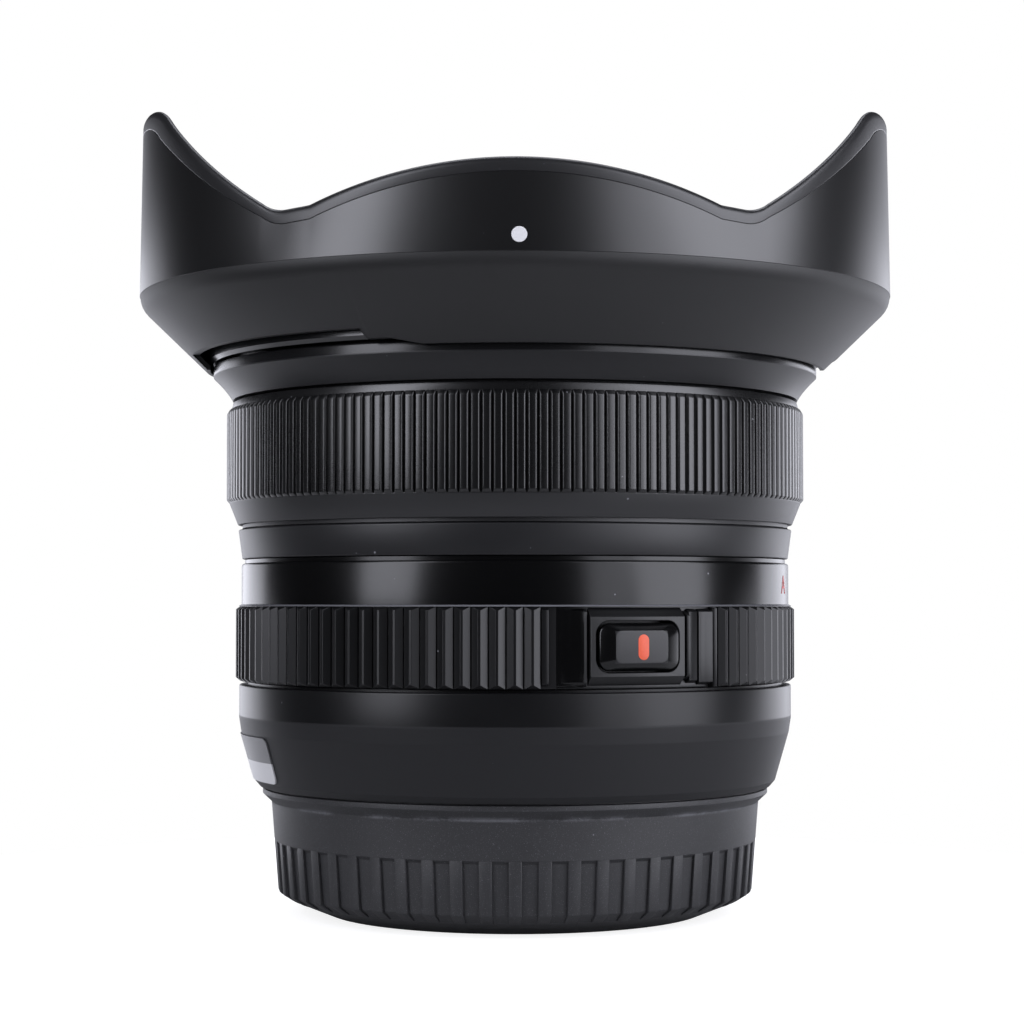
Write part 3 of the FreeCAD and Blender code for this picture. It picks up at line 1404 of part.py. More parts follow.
def axis_place(circle, azimuth):
    """Placement of a piece whose own axis stands at an azimuth on a circle."""
    turn = Rotation(Vector(0, 0, 1), value(azimuth))
    return Placement(turn.multVec(Vector(0, -value(circle), 0)), turn)


def blade(number):
    """One iris blade: a crescent with an eye, a pivot pin to the base and a pin in the ring's slot."""
    body = new_body("iris_blade_%d" % (number + 1))
    level = "(blade_rear + %d * blade_level)" % number
    span = "blade_span"
    inner = "blade_inner"
    outer = "blade_outer"
    corners = [
        (inner, "0"),
        (outer, "0", outer, "left"),
        (outer + " * cos(%s / 2)" % span, outer + " * sin(%s / 2)" % span, outer, "left"),
        (outer + " * cos(%s)" % span, outer + " * sin(%s)" % span),
        (inner + " * cos(%s)" % span, inner + " * sin(%s)" % span, inner, "right"),
        (inner + " * cos(%s / 2)" % span, inner + " * sin(%s / 2)" % span, inner, "right"),
    ]
    extrude(body, outline(body, "crescent", "XY_Plane", corners, "0", level), "blade_thickness")
    eye = circles(body, "eye", "XY_Plane", [("blade_pivot_circle", "0", "blade_eye")], "0", level)
    extrude(body, eye, "blade_thickness")
    along = "blade_tail * cos(blade_swing / 2)"
    across = "0 - blade_tail * sin(blade_swing / 2)"
    pin_x = "blade_pivot_circle + %s" % along
    tail_radius = "blade_tail_radius"
    tail = outline(body, "tail", "XY_Plane", [
        ("blade_pivot_circle - %s * sin(blade_swing / 2)" % tail_radius,
         "0 - %s * cos(blade_swing / 2)" % tail_radius),
        ("%s - %s * sin(blade_swing / 2)" % (pin_x, tail_radius),
         "%s - %s * cos(blade_swing / 2)" % (across, tail_radius)),
        ("%s + %s * sin(blade_swing / 2)" % (pin_x, tail_radius),
         "%s + %s * cos(blade_swing / 2)" % (across, tail_radius)),
        ("blade_pivot_circle + %s * sin(blade_swing / 2)" % tail_radius,
         "%s * cos(blade_swing / 2)" % tail_radius),
    ], "0", level)
    extrude(body, tail, "blade_thickness")
    tip = circles(body, "tail_tip", "XY_Plane", [(pin_x, across, tail_radius)], "0", level)
    extrude(body, tip, "blade_thickness")
    pivot = circles(body, "pivot_pin", "XY_Plane", [("blade_pivot_circle", "0", "blade_pin")], "0",
                    "iris_rear + iris_base_thickness / 5")
    extrude(body, pivot, "%s - iris_rear - iris_base_thickness / 5" % level)
    pin = circles(body, "drive_pin", "XY_Plane", [(pin_x, across, "blade_pin")], "0",
                  "%s + blade_thickness" % level)
    extrude(body, pin, "drive_ring_front - %s - blade_thickness" % level)
    body.Placement = Placement(Vector(), Rotation(Vector(0, 0, 1), number * 360 / value("blade_count")))


def focus_group():
    """Focus cell with its elements, guide rods, lead screw, nut and motor, and the frame under it."""
    rim = "sleeve_bore - frame_rim"
    frame = turned("guide_frame", [
        ("rear_cell_radius", "frame_plate_rear"),
        (rim, "frame_plate_rear"),
        (rim, "ledge_front"),
        ("sleeve_bore", "ledge_front"),
        ("sleeve_bore", "frame_plate_front"),
        ("rear_cell_radius", "frame_plate_front"),
    ])
    hole = circles(frame, "frame_hole", "XY_Plane", [("mount_screw_circle", "0", "mount_screw_shank")],
                   screw_turn, "ledge_front")
    way = extrude(frame, hole, "mount_screw_length - ledge_front", cut=True, back=True)
    repeat(frame, [way], "mount_screws", grows=False)

    clear = "glass_clearance"
    cell = turned("focus_cell", [
        ("element_seven_radius + %s" % clear, "focus_cell_rear"),
        ("focus_cell_radius", "focus_cell_rear"),
        ("focus_cell_radius", "focus_cell_front"),
        ("element_five_radius + %s" % clear, "focus_cell_front"),
        ("element_five_radius + %s" % clear, "focus_seat"),
        ("focus_bore", "focus_seat"),
        ("focus_bore", "focus_rear_seat"),
        ("element_seven_radius + %s" % clear, "focus_rear_seat"),
    ])
    root = "(element_five_radius + focus_cell_radius) / 2"
    arms = (("rod_arm_front", "0", "rod_circle", "arm_eye", "rod_radius + rod_clearance"),
            ("rod_arm_back", "180", "rod_circle", "arm_eye", "rod_radius + rod_clearance"),
            ("nut_arm", "90", "screw_circle", "nut_arm_eye", "nut_radius"))
    for name, azimuth, circle, eye, bore in arms:
        turn = radial(azimuth)
        half = "arm_width / 2"
        arm = outline(cell, name, "XY_Plane", rectangle(root, circle, "0 - %s" % half, half), turn,
                      "arm_station")
        extrude(cell, arm, "arm_thickness")
        end = circles(cell, name + "_eye", "XY_Plane", [(circle, "0", eye)], turn, "arm_station")
        extrude(cell, end, "arm_thickness")
        hole = circles(cell, name + "_hole", "XY_Plane", [(circle, "0", bore)], turn, "arm_station")
        extrude(cell, hole, "arm_thickness", cut=True, back=True)

    element("element_5", "element_five_radius", "focus_cement", "(focus_cement + element_five_edge)",
            ("element_five_rear", "back"), ("element_five_front", "forward"))
    element("element_6", "element_five_radius", "focus_seat", "focus_cement", None,
            ("element_five_rear", "back"))
    element("element_7", "element_seven_radius", "rear_cement", "(rear_cement + element_seven_edge)",
            ("element_seven_rear", "back"), ("element_seven_front", "forward"))
    element("element_8", "element_seven_radius", "rear_cement - element_eight_edge", "rear_cement",
            ("element_eight_rear", "back"), ("element_seven_rear", "back"))
    lip = "element_seven_radius - retainer_lip"
    rest = "rear_cement - element_eight_edge - " + crown("element_eight_rear", "element_seven_radius", lip)
    retaining_ring("focus_retainer", lip, "element_seven_radius + %s" % clear,
                   "focus_cell_rear", rest)

    rods = new_body("guide_rods")
    rod = circles(rods, "rod", "XY_Plane", [("0", "rod_circle", "rod_radius"),
                                            ("0", "0 - rod_circle", "rod_radius")],
                  "0", "frame_plate_front")
    extrude(rods, rod, "iris_rear + iris_base_thickness - frame_plate_front")

    screw = new_body("lead_screw")
    shank = circles(screw, "screw", "XY_Plane", [("0", "0", "lead_screw_radius")], "0", "motor_front")
    extrude(screw, shank, "iris_rear + iris_base_thickness - motor_front")
    screw.Placement = axis_place("screw_circle", "90")

    nut = new_body("focus_nut")
    middle = "arm_station + arm_thickness / 2 - nut_length / 2"
    section = circles(nut, "nut", "XY_Plane", [("0", "0", "nut_radius"),
                                               ("0", "0", "lead_screw_radius + screw_clearance")],
                      "0", middle)
    extrude(nut, section, "nut_length")
    nut.Placement = axis_place("screw_circle", "90")

    motor = new_body("focus_motor")
    can = circles(motor, "can", "XY_Plane", [("0", "0", "focus_motor_radius")], "0", "frame_plate_front")
    extrude(motor, can, "focus_motor_length")
    motor.Placement = axis_place("screw_circle", "90")


def rear_group():
    """Fixed rear cell with its elements, and the circuit board round it."""
    clear = "glass_clearance"
    eleven_lip = "element_eleven_radius - retainer_lip"
    eleven_rest = "element_eleven_rear_edge - " + crown("element_eleven_rear", "element_eleven_radius",
                                                        eleven_lip)
    turned("rear_cell", [
        (eleven_lip, "baffle_front"),
        ("rear_cell_radius", "baffle_front"),
        ("rear_cell_radius", "frame_plate_rear - rear_cell_flange_thickness"),
        ("rear_cell_flange_radius", "frame_plate_rear - rear_cell_flange_thickness"),
        ("rear_cell_flange_radius", "frame_plate_rear"),
        ("rear_cell_radius", "frame_plate_rear"),
        ("rear_cell_radius", "frame_plate_front"),
        ("element_nine_radius + %s" % clear, "frame_plate_front"),
        ("element_nine_radius + %s" % clear, "rear_shoulder"),
        ("element_eleven_radius + %s" % clear, "rear_shoulder"),
        ("element_eleven_radius + %s" % clear, eleven_rest),
        (eleven_lip, eleven_rest),
    ])
    front_edge = "(element_nine_station + element_nine_edge)"
    element("element_9", "element_nine_radius", "element_nine_station", front_edge,
            ("element_nine_rear", "back"), ("element_nine_front", "forward"))
    element("element_10", "element_nine_radius", "rear_shoulder", "element_nine_station", None,
            ("element_nine_rear", "back"))
    element("element_11", "element_eleven_radius", "element_eleven_rear_edge",
            "(element_eleven_rear_edge + element_eleven_edge)",
            ("element_eleven_rear", "back"), ("element_eleven_front", "back"))
    lip = "element_nine_radius - retainer_lip"
    rest = front_edge + " + " + crown("element_nine_front", "element_nine_radius", lip)
    retaining_ring("rear_retainer", lip, "element_nine_radius + %s" % clear, rest,
                   "frame_plate_front")
    turned("circuit_board", rectangle("board_bore", "board_radius", "ledge_front",
                                      "ledge_front + board_thickness"))


mount()
throat()
rear_cap()
rear_barrel()
inner_barrel()
band()
aperture_ring()
lock_button()
focus_ring()
front_barrel()
hood()
front_group()
iris()
focus_group()
rear_group()

document.recompute()
faults = []
for item in document.Objects:
    if "Invalid" in item.State or "Error" in item.State:
        faults.append("%s: %s" % (item.Name, item.State))
for piece in pieces:
    if piece.Shape.isNull() or not piece.Shape.isValid() or not piece.Shape.Solids:
        faults.append("%s has no valid solid" % piece.Label)
if faults:
    raise RuntimeError("; ".join(faults))

os.makedirs("parts", exist_ok=True)
for piece in pieces:
    piece.Shape.exportStep("parts/%s.step" % piece.Label)
print("wrote %d pieces" % len(pieces))
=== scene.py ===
import math
import bpy
from mathutils import Matrix, Vector


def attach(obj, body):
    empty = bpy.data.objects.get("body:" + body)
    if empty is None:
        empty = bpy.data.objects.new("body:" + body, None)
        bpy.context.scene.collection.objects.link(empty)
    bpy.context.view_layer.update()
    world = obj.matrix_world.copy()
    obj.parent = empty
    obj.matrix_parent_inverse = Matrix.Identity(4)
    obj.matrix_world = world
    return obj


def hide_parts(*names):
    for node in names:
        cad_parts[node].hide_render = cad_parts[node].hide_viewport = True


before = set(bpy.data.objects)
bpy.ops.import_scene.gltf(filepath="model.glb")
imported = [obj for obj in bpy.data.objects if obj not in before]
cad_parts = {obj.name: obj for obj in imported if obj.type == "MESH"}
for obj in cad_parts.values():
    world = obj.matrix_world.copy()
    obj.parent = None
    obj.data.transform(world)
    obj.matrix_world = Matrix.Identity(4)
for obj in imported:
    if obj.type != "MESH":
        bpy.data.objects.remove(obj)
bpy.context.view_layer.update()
mm = 0.001  # lengths below are millimetres, azimuths are degrees from the viewer's side towards +X
print("frame loaded:", len(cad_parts), "nodes")


def start(piece=None):
    if bpy.context.object and bpy.context.object.mode != "OBJECT":
        bpy.ops.object.mode_set(mode="OBJECT")
    bpy.ops.object.select_all(action="DESELECT")
    if piece:
        piece.select_set(True)
        bpy.context.view_layer.objects.active = piece


def editing(piece, mode="VERT"):
    start(piece)
    bpy.ops.object.mode_set(mode="EDIT")
    bpy.ops.mesh.select_mode(type=mode)
    bpy.ops.mesh.select_all(action="DESELECT")


def done():
    bpy.ops.object.mode_set(mode="OBJECT")
    return bpy.context.object


def pick(piece, wanted):  # selects faces in edit mode by their centre and normal
    bpy.ops.object.mode_set(mode="OBJECT")
    for face in piece.data.polygons:
        face.select = bool(wanted(face.center / mm, face.normal))
    bpy.ops.object.mode_set(mode="EDIT")


def smooth(piece, angle=35):
    start(piece)
    bpy.ops.object.shade_smooth_by_angle(angle=math.radians(angle))
    return piece


def tidy(piece, angle=35):  # doubles merged, normals outwards, shaded smooth below the angle
    editing(piece)
    bpy.ops.mesh.select_all(action="SELECT")
    bpy.ops.mesh.remove_doubles(threshold=0.0005 * mm)
    bpy.ops.mesh.normals_make_consistent(inside=False)
    done()
    return smooth(piece, angle)


def softened(outline, steps=4):  # a corner's third number is its rounding
    points = []
    count = len(outline)
    for index, corner in enumerate(outline):
        here = Vector(corner[:2])
        if len(corner) < 3:
            points.append(tuple(here))
            continue
        back = (Vector(outline[index - 1][:2]) - here).normalized()
        ahead = (Vector(outline[(index + 1) % count][:2]) - here).normalized()
        half = back.angle(ahead) / 2
        if half > 1.56:  # nothing to round on a straight run
            points.append(tuple(here))
            continue
        reach = corner[2] / math.tan(half)
        centre = here + (back + ahead).normalized() * (corner[2] / math.sin(half))
        first, last = here + back * reach - centre, here + ahead * reach - centre
        for step in range(steps + 1):
            points.append(tuple(centre + first.slerp(last, step / steps).normalized() * corner[2]))
    return points


def turned(name, outline, columns=256, closed=True, steps=4):  # a ring drawn out corner by corner, as on a lathe
    points = softened(outline, steps)
    radius, station = points[0]
    start()
    bpy.ops.mesh.primitive_circle_add(vertices=columns, radius=radius * mm, location=(0, 0, station * mm))
    piece = bpy.context.object
    piece.name = piece.data.name = name
    bpy.ops.object.transform_apply(location=True, rotation=True, scale=True)
    bpy.ops.object.mode_set(mode="EDIT")
    bpy.ops.mesh.select_mode(type="EDGE")
    bpy.ops.mesh.select_all(action="SELECT")
    for nextRadius, nextStation in points[1:] + (points[:1] if closed else []):
        rise = (nextStation - station) * mm
        bpy.ops.mesh.extrude_edges_move(TRANSFORM_OT_translate={"value": (0, 0, rise)})
        widen = nextRadius / radius
        bpy.ops.transform.resize(value=(widen, widen, 1), center_override=(0, 0, 0))
        radius, station = nextRadius, nextStation
    if not closed:  # both ends are flat discs on the axis
        bpy.ops.mesh.edge_face_add()
        bpy.ops.mesh.select_all(action="DESELECT")
        bpy.ops.mesh.select_non_manifold()
        bpy.ops.mesh.edge_face_add()
    done()
    return tidy(piece)


def block(name, width, depth, height):  # a box centred on the origin, its outer face towards -Y
    start()
    bpy.ops.mesh.primitive_cube_add(size=1)
    piece = bpy.context.object
    piece.name = piece.data.name = name
    piece.scale = (width * mm, depth * mm, height * mm)
    bpy.ops.object.transform_apply(location=True, rotation=True, scale=True)
    return piece


def bevelled(piece, width, segments=2, angle=30):
    start(piece)
    bevel = piece.modifiers.new("bevel", "BEVEL")
    bevel.width = width * mm
    bevel.segments = segments
    bevel.limit_method = "ANGLE"
    bevel.angle_limit = math.radians(angle)
    bpy.ops.object.modifier_apply(modifier="bevel")
    return piece


def roundCorners(piece, corner, segments=6):  # rounds the four edges that run in and out
    editing(piece, "EDGE")
    bpy.ops.object.mode_set(mode="OBJECT")
    hair = 0.0001 * mm
    for edge in piece.data.edges:
        a, b = (piece.data.vertices[i].co for i in edge.vertices)
        edge.select = abs(a.x - b.x) < hair and abs(a.z - b.z) < hair
    bpy.ops.object.mode_set(mode="EDIT")
    bpy.ops.mesh.bevel(offset=corner * mm, segments=segments, affect="EDGES")
    return done()


def moved(piece, place):  # place turns a vertex in millimetres into its new spot
    for vertex in piece.data.vertices:
        vertex.co = place(vertex.co / mm) * mm
    piece.data.update()
    return piece


def onBarrel(azimuth, radius, station):
    turn = math.radians(azimuth)
    return Vector((radius * math.sin(turn), -radius * math.cos(turn), station))


def wrapped(piece, azimuth, radius, station):  # lays a flat piece round the barrel, -Y outwards
    def bent(spot):
        return onBarrel(azimuth + math.degrees(spot.x / radius), radius - spot.y, station + spot.z)

    return moved(piece, bent)


def joined(pieces, name):
    start(pieces[0])
    for piece in pieces:
        piece.select_set(True)
    bpy.ops.object.join()
    piece = bpy.context.object
    piece.name = piece.data.name = name
    return piece


def around(piece, count, span=None):  # copies the mesh towards larger azimuths, all round where no span is given
    span = span or 360 * (count - 1) / count
    editing(piece)
    bpy.ops.mesh.select_all(action="SELECT")
    bpy.ops.mesh.spin(steps=count - 1, dupli=True, angle=-math.radians(span), center=(0, 0, 0), axis=(0, 0, 1))
    return done()


def rib(name, azimuth, shape):  # its foot stands in the ring
    length, foot = shape["front"] - shape["rear"], shape["foot"]
    piece = block(name, shape["width"], foot, length)
    editing(piece, "FACE")
    pick(piece, lambda centre, normal: normal.y < -0.9)
    bpy.ops.mesh.extrude_region_move(TRANSFORM_OT_translate={"value": (0, (shape["root"] - shape["crest"]) * mm, 0)})
    narrowed = shape["topWidth"] / shape["width"]
    shortened = (length - shape["rearSlope"] - shape["frontSlope"]) / length
    bpy.ops.transform.resize(value=(narrowed, 1, shortened), center_override=(0, 0, 0))
    bpy.ops.transform.translate(value=(0, 0, (shape["rearSlope"] - shape["frontSlope"]) / 2 * mm))
    done()
    bevelled(piece, shape["edge"], shape["steps"], 20)
    return wrapped(piece, azimuth, shape["root"] - foot / 2, (shape["rear"] + shape["front"]) / 2)


class Wire:  # a node tree with one of its outputs, which can be used in sums
    def __init__(self, tree, socket=None):
        self.tree, self.socket = tree, socket

    def node(self, kind, settings={}, sockets={}, output=0):
        made = self.tree.nodes.new(kind)
        for setting, value in settings.items():
            setattr(made, setting, value)
        for socket, value in sockets.items():
            if isinstance(value, Wire):
                self.tree.links.new(value.socket, made.inputs[socket])
            else:
                made.inputs[socket].default_value = value
        return Wire(self.tree, made.outputs[output])

    def sum(self, operation, first, second):
        return self.node("ShaderNodeMath", {"operation": operation}, {0: first, 1: second})

    def __add__(self, other): return self.sum("ADD", self, other)
    def __radd__(self, other): return self.sum("ADD", other, self)
    def __sub__(self, other): return self.sum("SUBTRACT", self, other)
    def __rsub__(self, other): return self.sum("SUBTRACT", other, self)
    def __mul__(self, other): return self.sum("MULTIPLY", self, other)
    def __rmul__(self, other): return self.sum("MULTIPLY", other, self)
    def __pow__(self, other): return self.sum("POWER", self, other)


def newFinish(name, **constants):
    material = bpy.data.materials.new(name)
    material.use_nodes = True
    shader = material.node_tree.nodes["Principled BSDF"]
    for socket, value in constants.items():
        shader.inputs[socket.replace("_", " ")].default_value = value
    return material, Wire(material.node_tree)


def feed(material, **wires):
    shader = material.node_tree.nodes["Principled BSDF"]
    for socket, wire in wires.items():
        material.node_tree.links.new(wire.socket, shader.inputs[socket.replace("_", " ")])
    return material


def place(wire, stretch=(1, 1, 1)):  # object coordinates in millimetres
    spot = wire.node("ShaderNodeTexCoord", output="Object")
    scale = tuple(1000 * factor for factor in stretch)
    return wire.node("ShaderNodeMapping", {}, {"Vector": spot, "Scale": scale})


def part(spot, axis):  # 0, 1 or 2 for X, Y or Z
    return spot.node("ShaderNodeSeparateXYZ", {}, {"Vector": spot}, axis)


def fromAxis(spot):  # distance from the lens's axis
    across, depth = part(spot, 0), part(spot, 1)
    return (across * across + depth * depth) ** 0.5


def noise(spot, size, detail=2.0, roughness=0.5):
    sockets = {"Vector": spot, "Scale": 1 / size, "Detail": detail, "Roughness": roughness}
    return spot.node("ShaderNodeTexNoise", {}, sockets, "Fac")


def between(value, low, high):  # 0 below low, 1 above high
    sockets = {"Value": value, "From Min": low, "From Max": high}
    return value.node("ShaderNodeMapRange", {"interpolation_type": "SMOOTHSTEP"}, sockets)


def within(value, low, high, fade):  # 1 between low and high
    return between(value, low, low + fade) * (1 - between(value, high, high + fade))


def mix(share, first, second):  # of colours
    return share.node("ShaderNodeMix", {"data_type": "RGBA"}, {0: share, 6: first, 7: second}, 2)


def bump(height, depth):
    return height.node("ShaderNodeBump", {}, {"Height": height, "Distance": depth * mm, "Strength": 1.0})


def dust(spot, amount):  # few pale specks in patches
    specks = spot.node("ShaderNodeTexVoronoi", {"feature": "F1"}, {"Vector": spot, "Scale": 0.55}, "Distance")
    size = between(noise(spot, 6.0), 0.45, 0.75) * 0.075
    return between(size - specks, -0.01, 0.02) * amount


def grey(level):
    return (level, level * 1.01, level * 1.1, 1)


coat = {  # grey and roughness that dust and blasting give
    "dustTone": 0.35,
    "plasticDustTone": 0.30,
    "dustRough": 0.3,
    "plasticDustRough": 0.2,
    "mattTone": 0.015,
    "mattRough": 0.18,
    "fade": 0.1,  # how softly one finish passes into the next
}


def blackFinish(name, tone, rough, specular=0.3, grain=0.10, depth=0.001, dusty=0.35, mattBelow=-99.0):
    material, wire = newFinish(name, Specular_IOR_Level=specular)
    spot = place(wire)
    matt = 1 - between(part(spot, 2), mattBelow - coat["fade"], mattBelow + coat["fade"])
    fine, broad, specks = noise(spot, grain, 3.0, 0.6), noise(spot, 9.0, 3.0), dust(spot, dusty)
    satin = mix(broad, grey(tone * 0.8), grey(tone * 1.25))
    tint = mix(matt, satin, grey(coat["mattTone"]))
    uneven = 0.08 * broad + 0.06 * fine - 0.06
    return feed(material, Base_Color=mix(specks, tint, grey(coat["dustTone"])), Normal=bump(fine, depth),
                Roughness=rough + uneven + coat["dustRough"] * specks + coat["mattRough"] * matt)


def plainMetal(name, colour, rough, streak=(1, 1, 1), paintedShadeBeyond=99.0):  # bare up to a radius, painted dark beyond it as the shade in the gap between barrel and cap
    material, wire = newFinish(name)
    fine = noise(place(wire, streak), 0.2, 4.0, 0.6)
    bare = 1 - between(fromAxis(place(wire)), paintedShadeBeyond, paintedShadeBeyond + coat["fade"])
    dark = tuple(channel * 0.82 for channel in colour) + (1,)
    metal = mix(fine, dark, tuple(colour) + (1,))
    # the dark grey beyond the radius is painted shade
    return feed(material, Base_Color=mix(bare, grey(0.006), metal), Metallic=bare, Normal=bump(fine, 0.002),
                Roughness=rough - 0.05 + 0.12 * fine + 0.3 * (1 - bare))


def glassFinish(name, tint, film):
    material, wire = newFinish(name, Transmission_Weight=1.0, IOR=1.6, Roughness=0.02, Base_Color=tint,
                               Coat_IOR=1.38, Coat_Tint=film)
    facing = wire.node("ShaderNodeLayerWeight", {}, {"Blend": 0.3}, "Facing")
    return feed(material, Coat_Weight=0.35 + 0.3 * facing)


def paint(name, colour, rough):
    material, wire = newFinish(name)
    fine = noise(place(wire), 0.25, 3.0)
    worn = tuple(channel * 0.85 for channel in colour[:3]) + (1,)
    return feed(material, Base_Color=mix(fine, worn, colour), Roughness=rough + 0.1 * fine, Normal=bump(fine, 0.003))


def dress(piece, material):
    piece.data.materials.clear()
    piece.data.materials.append(material)


def settle(piece, body, material, slot, *nodes):  # gives a finished piece its finish, its body and its nodes
    dress(piece, material)
    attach(piece, body)
    if nodes:
        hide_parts(*nodes)
    return piece


print("helpers ready")

stage = {
    "distance": 276.8,
    "eyeAcross": -0.34,
    "eyeHeight": 21.07,
    "tiltUp": 2.07,
    "lens": 85.03,
    "sensor": 36,
    "nearest": 10,  # nothing closer to the camera is drawn
    "floor": -14.12,  # a hair under the cap
    "floorRadius": 90,
    "floorTone": 0.55,
    "floorGlow": 0.82,  # seen by the camera only
    "worldGlow": 0.35,
    "roomDark": 0.02,  # what gloss sees in front of the lens
    "lampColour": (0.90, 0.91, 1.0),
    "aimHeight": 30,
    "backdrop": (0.2, 0.7),  # the white backdrop behind the lens fades in between these
    "backdropLean": 0.15,
    "backdropDrop": 2.0,  # how fast it ends upwards
    "lamps": (  # azimuth, distance, height, width, length and power
        ("softboxLeft", -52, 620, 290, 300, 600, 2.4),
        ("softboxRight", 66, 620, 200, 400, 700, 3.2),
        ("softboxFill", 38, 640, 200, 220, 700, 0.9),
        ("softboxTop", 180, 330, 640, 500, 300, 1.4),
        ("rimLeft", -142, 620, 25, 380, 250, 0.5),  # the overlit backdrop's edges, low behind the lens
        ("rimRight", 137, 620, 25, 380, 250, 0.5),
    ),
}

camera = bpy.data.objects.new("camera", bpy.data.cameras.new("camera"))
bpy.context.scene.collection.objects.link(camera)
camera.location = (stage["eyeAcross"] * mm, -stage["distance"] * mm, stage["eyeHeight"] * mm)
camera.rotation_euler = (math.radians(90 + stage["tiltUp"]), 0, 0)
camera.data.lens = stage["lens"]
camera.data.sensor_width = stage["sensor"]
camera.data.clip_start = stage["nearest"] * mm
bpy.context.scene.camera = camera
bpy.context.scene.view_settings.view_transform = "Standard"


def softbox(name, azimuth, distance, height, width, length, power):
    lamp = bpy.data.lights.new(name, "AREA")
    lamp.shape = "RECTANGLE"
    lamp.size, lamp.size_y = width * mm, length * mm
    lamp.energy = power
    lamp.color = stage["lampColour"]
    holder = bpy.data.objects.new(name, lamp)
    bpy.context.scene.collection.objects.link(holder)
    holder.location = onBarrel(azimuth, distance, height) * mm
    aim = Vector((0, 0, stage["aimHeight"] * mm)) - holder.location
    holder.rotation_euler = aim.to_track_quat("-Z", "Y").to_euler()


for lamp in stage["lamps"]:
    softbox(*lamp)

world = bpy.data.worlds.new("studio")
bpy.context.scene.world = world
world.use_nodes = True
sky = Wire(world.node_tree)
direction = sky.node("ShaderNodeTexCoord", output="Generated")
across, behind, above = (part(direction, axis) for axis in range(3))
low = behind + stage["backdropLean"] * across - stage["backdropDrop"] * sky.sum("MAXIMUM", above, 0)
room = stage["roomDark"] + (1 - stage["roomDark"]) * between(low, *stage["backdrop"])
rays = ("Is Camera Ray", "Is Glossy Ray", "Is Transmission Ray")
eye, shine, through = (sky.node("ShaderNodeLightPath", output=ray) for ray in rays)
polished = sky.sum("MAXIMUM", shine, through)
strength = sky.sum("MAXIMUM", eye, polished * room + (1 - polished) * stage["worldGlow"])
background = world.node_tree.nodes["Background"]
world.node_tree.links.new(strength.socket, background.inputs["Strength"])
skyColour = mix(eye, stage["lampColour"] + (1,), (1, 1, 1, 1))
world.node_tree.links.new(skyColour.socket, background.inputs["Color"])

start()
bpy.ops.mesh.primitive_circle_add(vertices=96, radius=stage["floorRadius"] * mm, fill_type="NGON",
                                  location=(0, 0, stage["floor"] * mm))
floor = bpy.context.object
floor.name = "floor"
bpy.ops.object.transform_apply(location=True)
floorColour = (stage["floorTone"],) * 3 + (1,)
paleFloor, wire = newFinish("paleFloor", Base_Color=floorColour, Roughness=0.9, Specular_IOR_Level=0.0,
                            Emission_Strength=stage["floorGlow"])
seen = wire.node("ShaderNodeLightPath", output="Is Camera Ray")
feed(paleFloor, Emission_Color=mix(seen, (0, 0, 0, 1), (1, 1, 1, 1)))
dress(floor, paleFloor)
print("camera, light and floor placed")

satinMetal = blackFinish("satinMetal", 0.004, 0.22, specular=0.55)
flareMetal = blackFinish("flareMetal", 0.006, 0.22, specular=0.5, mattBelow=46.2)
barrelMetal = blackFinish("barrelMetal", 0.006, 0.31, specular=0.35, mattBelow=8.1)
ribMetal = blackFinish("ribMetal", 0.004, 0.27, specular=0.85, grain=0.08, depth=0.002, dusty=0.6, mattBelow=31.9)
coneMetal = blackFinish("coneMetal", 0.013, 0.40, specular=0.55, grain=0.08, depth=0.002, dusty=0.5)
innerBlack = blackFinish("innerBlack", 0.015, 0.55, grain=0.15, depth=0.004, dusty=0.0)
bladeBlack = blackFinish("bladeBlack", 0.012, 0.45, grain=0.12, depth=0.004, dusty=0.0)
# the flange's edge beyond 28.1 mm is painted dark as shade in the gap under the barrel
chrome = plainMetal("chrome", (0.62, 0.62, 0.63), 0.24, (1, 1, 0.1), 28.1)
steel = plainMetal("steel", (0.5, 0.5, 0.52), 0.3)
gilt = plainMetal("gilt", (0.83, 0.62, 0.27), 0.25)
brass = plainMetal("brass", (0.6, 0.45, 0.2), 0.35, (1, 1, 0.2))
glass = glassFinish("coatedGlass", (0.96, 0.98, 0.96, 1), (0.55, 0.75, 0.95, 1))
markOrange = paint("markOrange", (0.92, 0.13, 0.055, 1), 0.4)
markRed = paint("markRed", (0.55, 0.03, 0.03, 1), 0.45)
markWhite = paint("markWhite", (0.85, 0.85, 0.86, 1), 0.45)
boardGreen = paint("boardGreen", (0.02, 0.12, 0.05, 1), 0.45)
print("finishes mixed")

